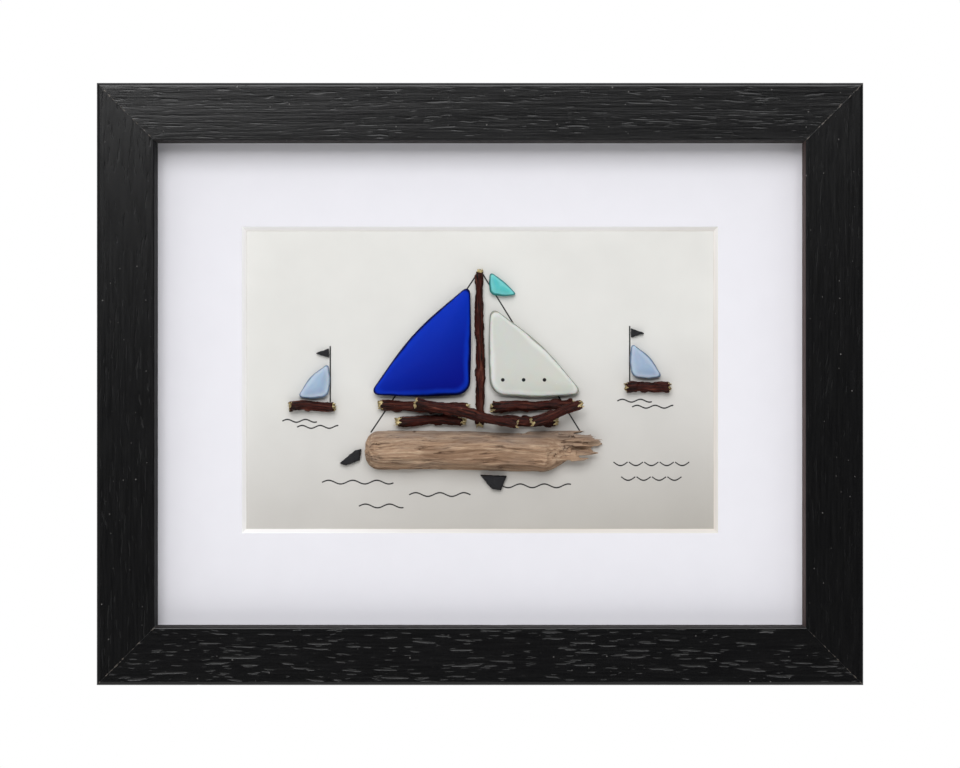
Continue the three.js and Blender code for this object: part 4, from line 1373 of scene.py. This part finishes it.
def glassShape(node, edge):
    outline, middle, low, high = widestOutline(node)
    deep = high.y - low.y
    crown = seaGlass["crown"] * deep
    rings, fromRim = [], []
    for i in range(seaGlass["edgeSteps"] + 1):  # the rounded edge
        turn = math.radians(-90 + 170 * i / seaGlass["edgeSteps"])
        inset = edge * (1 - math.cos(turn))
        depth = (deep - crown) / 2 * (1 + math.sin(turn))
        ring = []
        for p in outline:
            way = middle - p
            q = p + way * min(0.97, inset / way.length)
            ring.append(Vector((q.x, high.y - depth, q.y)))
        rings.append(ring)
        fromRim.append(inset if turn > 0 else 0.0)
    rim = rings[-1]
    hub = Vector((middle.x, 0, middle.y))
    for i in range(1, seaGlass["crownSteps"]):  # the bulging front
        share = 1 - i / seaGlass["crownSteps"]
        ring = []
        for p in rim:
            q = hub.lerp(Vector((p.x, 0, p.z)), share)
            ring.append(Vector((q.x, high.y - deep + crown * share**2, q.z)))
        rings.append(ring)
        fromRim.append(None)
    points, faces = skin(rings)
    count = len(outline)
    distances = []
    for i, p in enumerate(points):
        known = fromRim[i // count]
        flat = (Vector((p.x, p.z)) - outline[i % count]).length
        distances.append(flat if known is None else known)
    for p in points:  # worn hollows, always inward so the piece keeps its size
        lean = max(0.0, (high.y - p.y) / deep)
        hollow = 0.5 + 0.5 * noise.noise(p / (5.5 * mm) + Vector((3.1, len(node), 0)))
        ripple = 0.5 + 0.5 * noise.noise(p / (1.7 * mm) + Vector((0, len(node), 9.0)))
        p.y += seaGlass["unevenness"] * lean * (0.75 * hollow + 0.25 * ripple)
    return points, faces, distances


def buildGlass():
    for node, values in glassPieces.items():
        points, faces, distances = glassShape(node, values["edge"])
        piece = newPiece(f"tumbled_{node}", points, faces)
        field = piece.data.attributes.new("fromRim", "FLOAT", "POINT")
        field.data.foreach_set("value", distances)
        faceOutwards(piece)
        low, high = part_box(node)
        eyelets = []
        if node == "white_jib":
            eyelets = [Vector((low.x + (4.2 + 6.2 * i) * mm, 0, low.z + 5.2 * mm)) for i in range(3)]
        title = "frosted" + "".join(part.capitalize() for part in node.split("_"))
        coat(piece, frostedGlass(title, values, low, high, eyelets))
        piece.data.shade_smooth()
        settle(piece, node)


buildGlass()
print("sea glass made")


# Slate chips: split along their layers, with broken edges

slateChips = {
    "cell": 0.22 * mm,
    "layer": 0.28 * mm,  # height of a step between split layers
    "nibble": 0.16 * mm,  # how far the broken edges wander
}


def splitSlate():
    # Roofing slate: blue-black, matt, with a faint silky sheen on the split face
    material, shader, add = newMaterial("splitSlate", Specular_IOR_Level=0.25)
    place = add("TexCoord").outputs["Object"]
    layer = unevenness(add, place, (3.5, 0.25, 2.2), detail=4)
    dusty = unevenness(add, place, (0.4, 0.4, 0.4), seed=4.0, detail=3)
    tone = add("Mix", (layer, "#0c0c0e", "#26262a"), "RGBA")
    dust = add("MapRange", (dusty, 0.62, 0.78, 0.0, 0.4))
    dusted = add("Mix", (dust, tone, "#4c4c4e"), "RGBA")
    rough = add("MapRange", (layer, *noiseSpread, 0.5, 0.72))
    bump = add("Bump", {"Height": layer, "Strength": 0.6, "Distance": 0.15 * mm})
    feed(shader, {"Base Color": dusted, "Roughness": rough, "Normal": bump})
    return material


def buildSlate():
    material = splitSlate()
    for node in ("slate_rudder", "slate_keel", "left_dinghy_flag", "right_dinghy_flag"):
        chip = copyOf(node, f"split_{node}")
        low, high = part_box(node)
        middle = (low + high) / 2
        remeshed(chip, slateChips["cell"])
        for v in chip.data.vertices:
            lean = (high.y - v.co.y) / (high.y - low.y)
            layers = noise.noise(Vector((v.co.x, 0, v.co.z)) / (2.1 * mm) + Vector((len(node), 0, 0)))
            step = slateChips["layer"] * (math.floor(layers * 3) / 3 + 0.35)
            v.co.y += max(0.0, step) * lean
            nibble = 0.8 * slateChips["nibble"] * noise.noise(v.co / (0.8 * mm))
            v.co.x += nibble if v.co.x < middle.x else -nibble
            v.co.z += nibble if v.co.z < middle.z else -nibble
        coat(chip, material)
        chip.data.shade_flat()
        settle(chip, node)


buildSlate()
print("slate made")
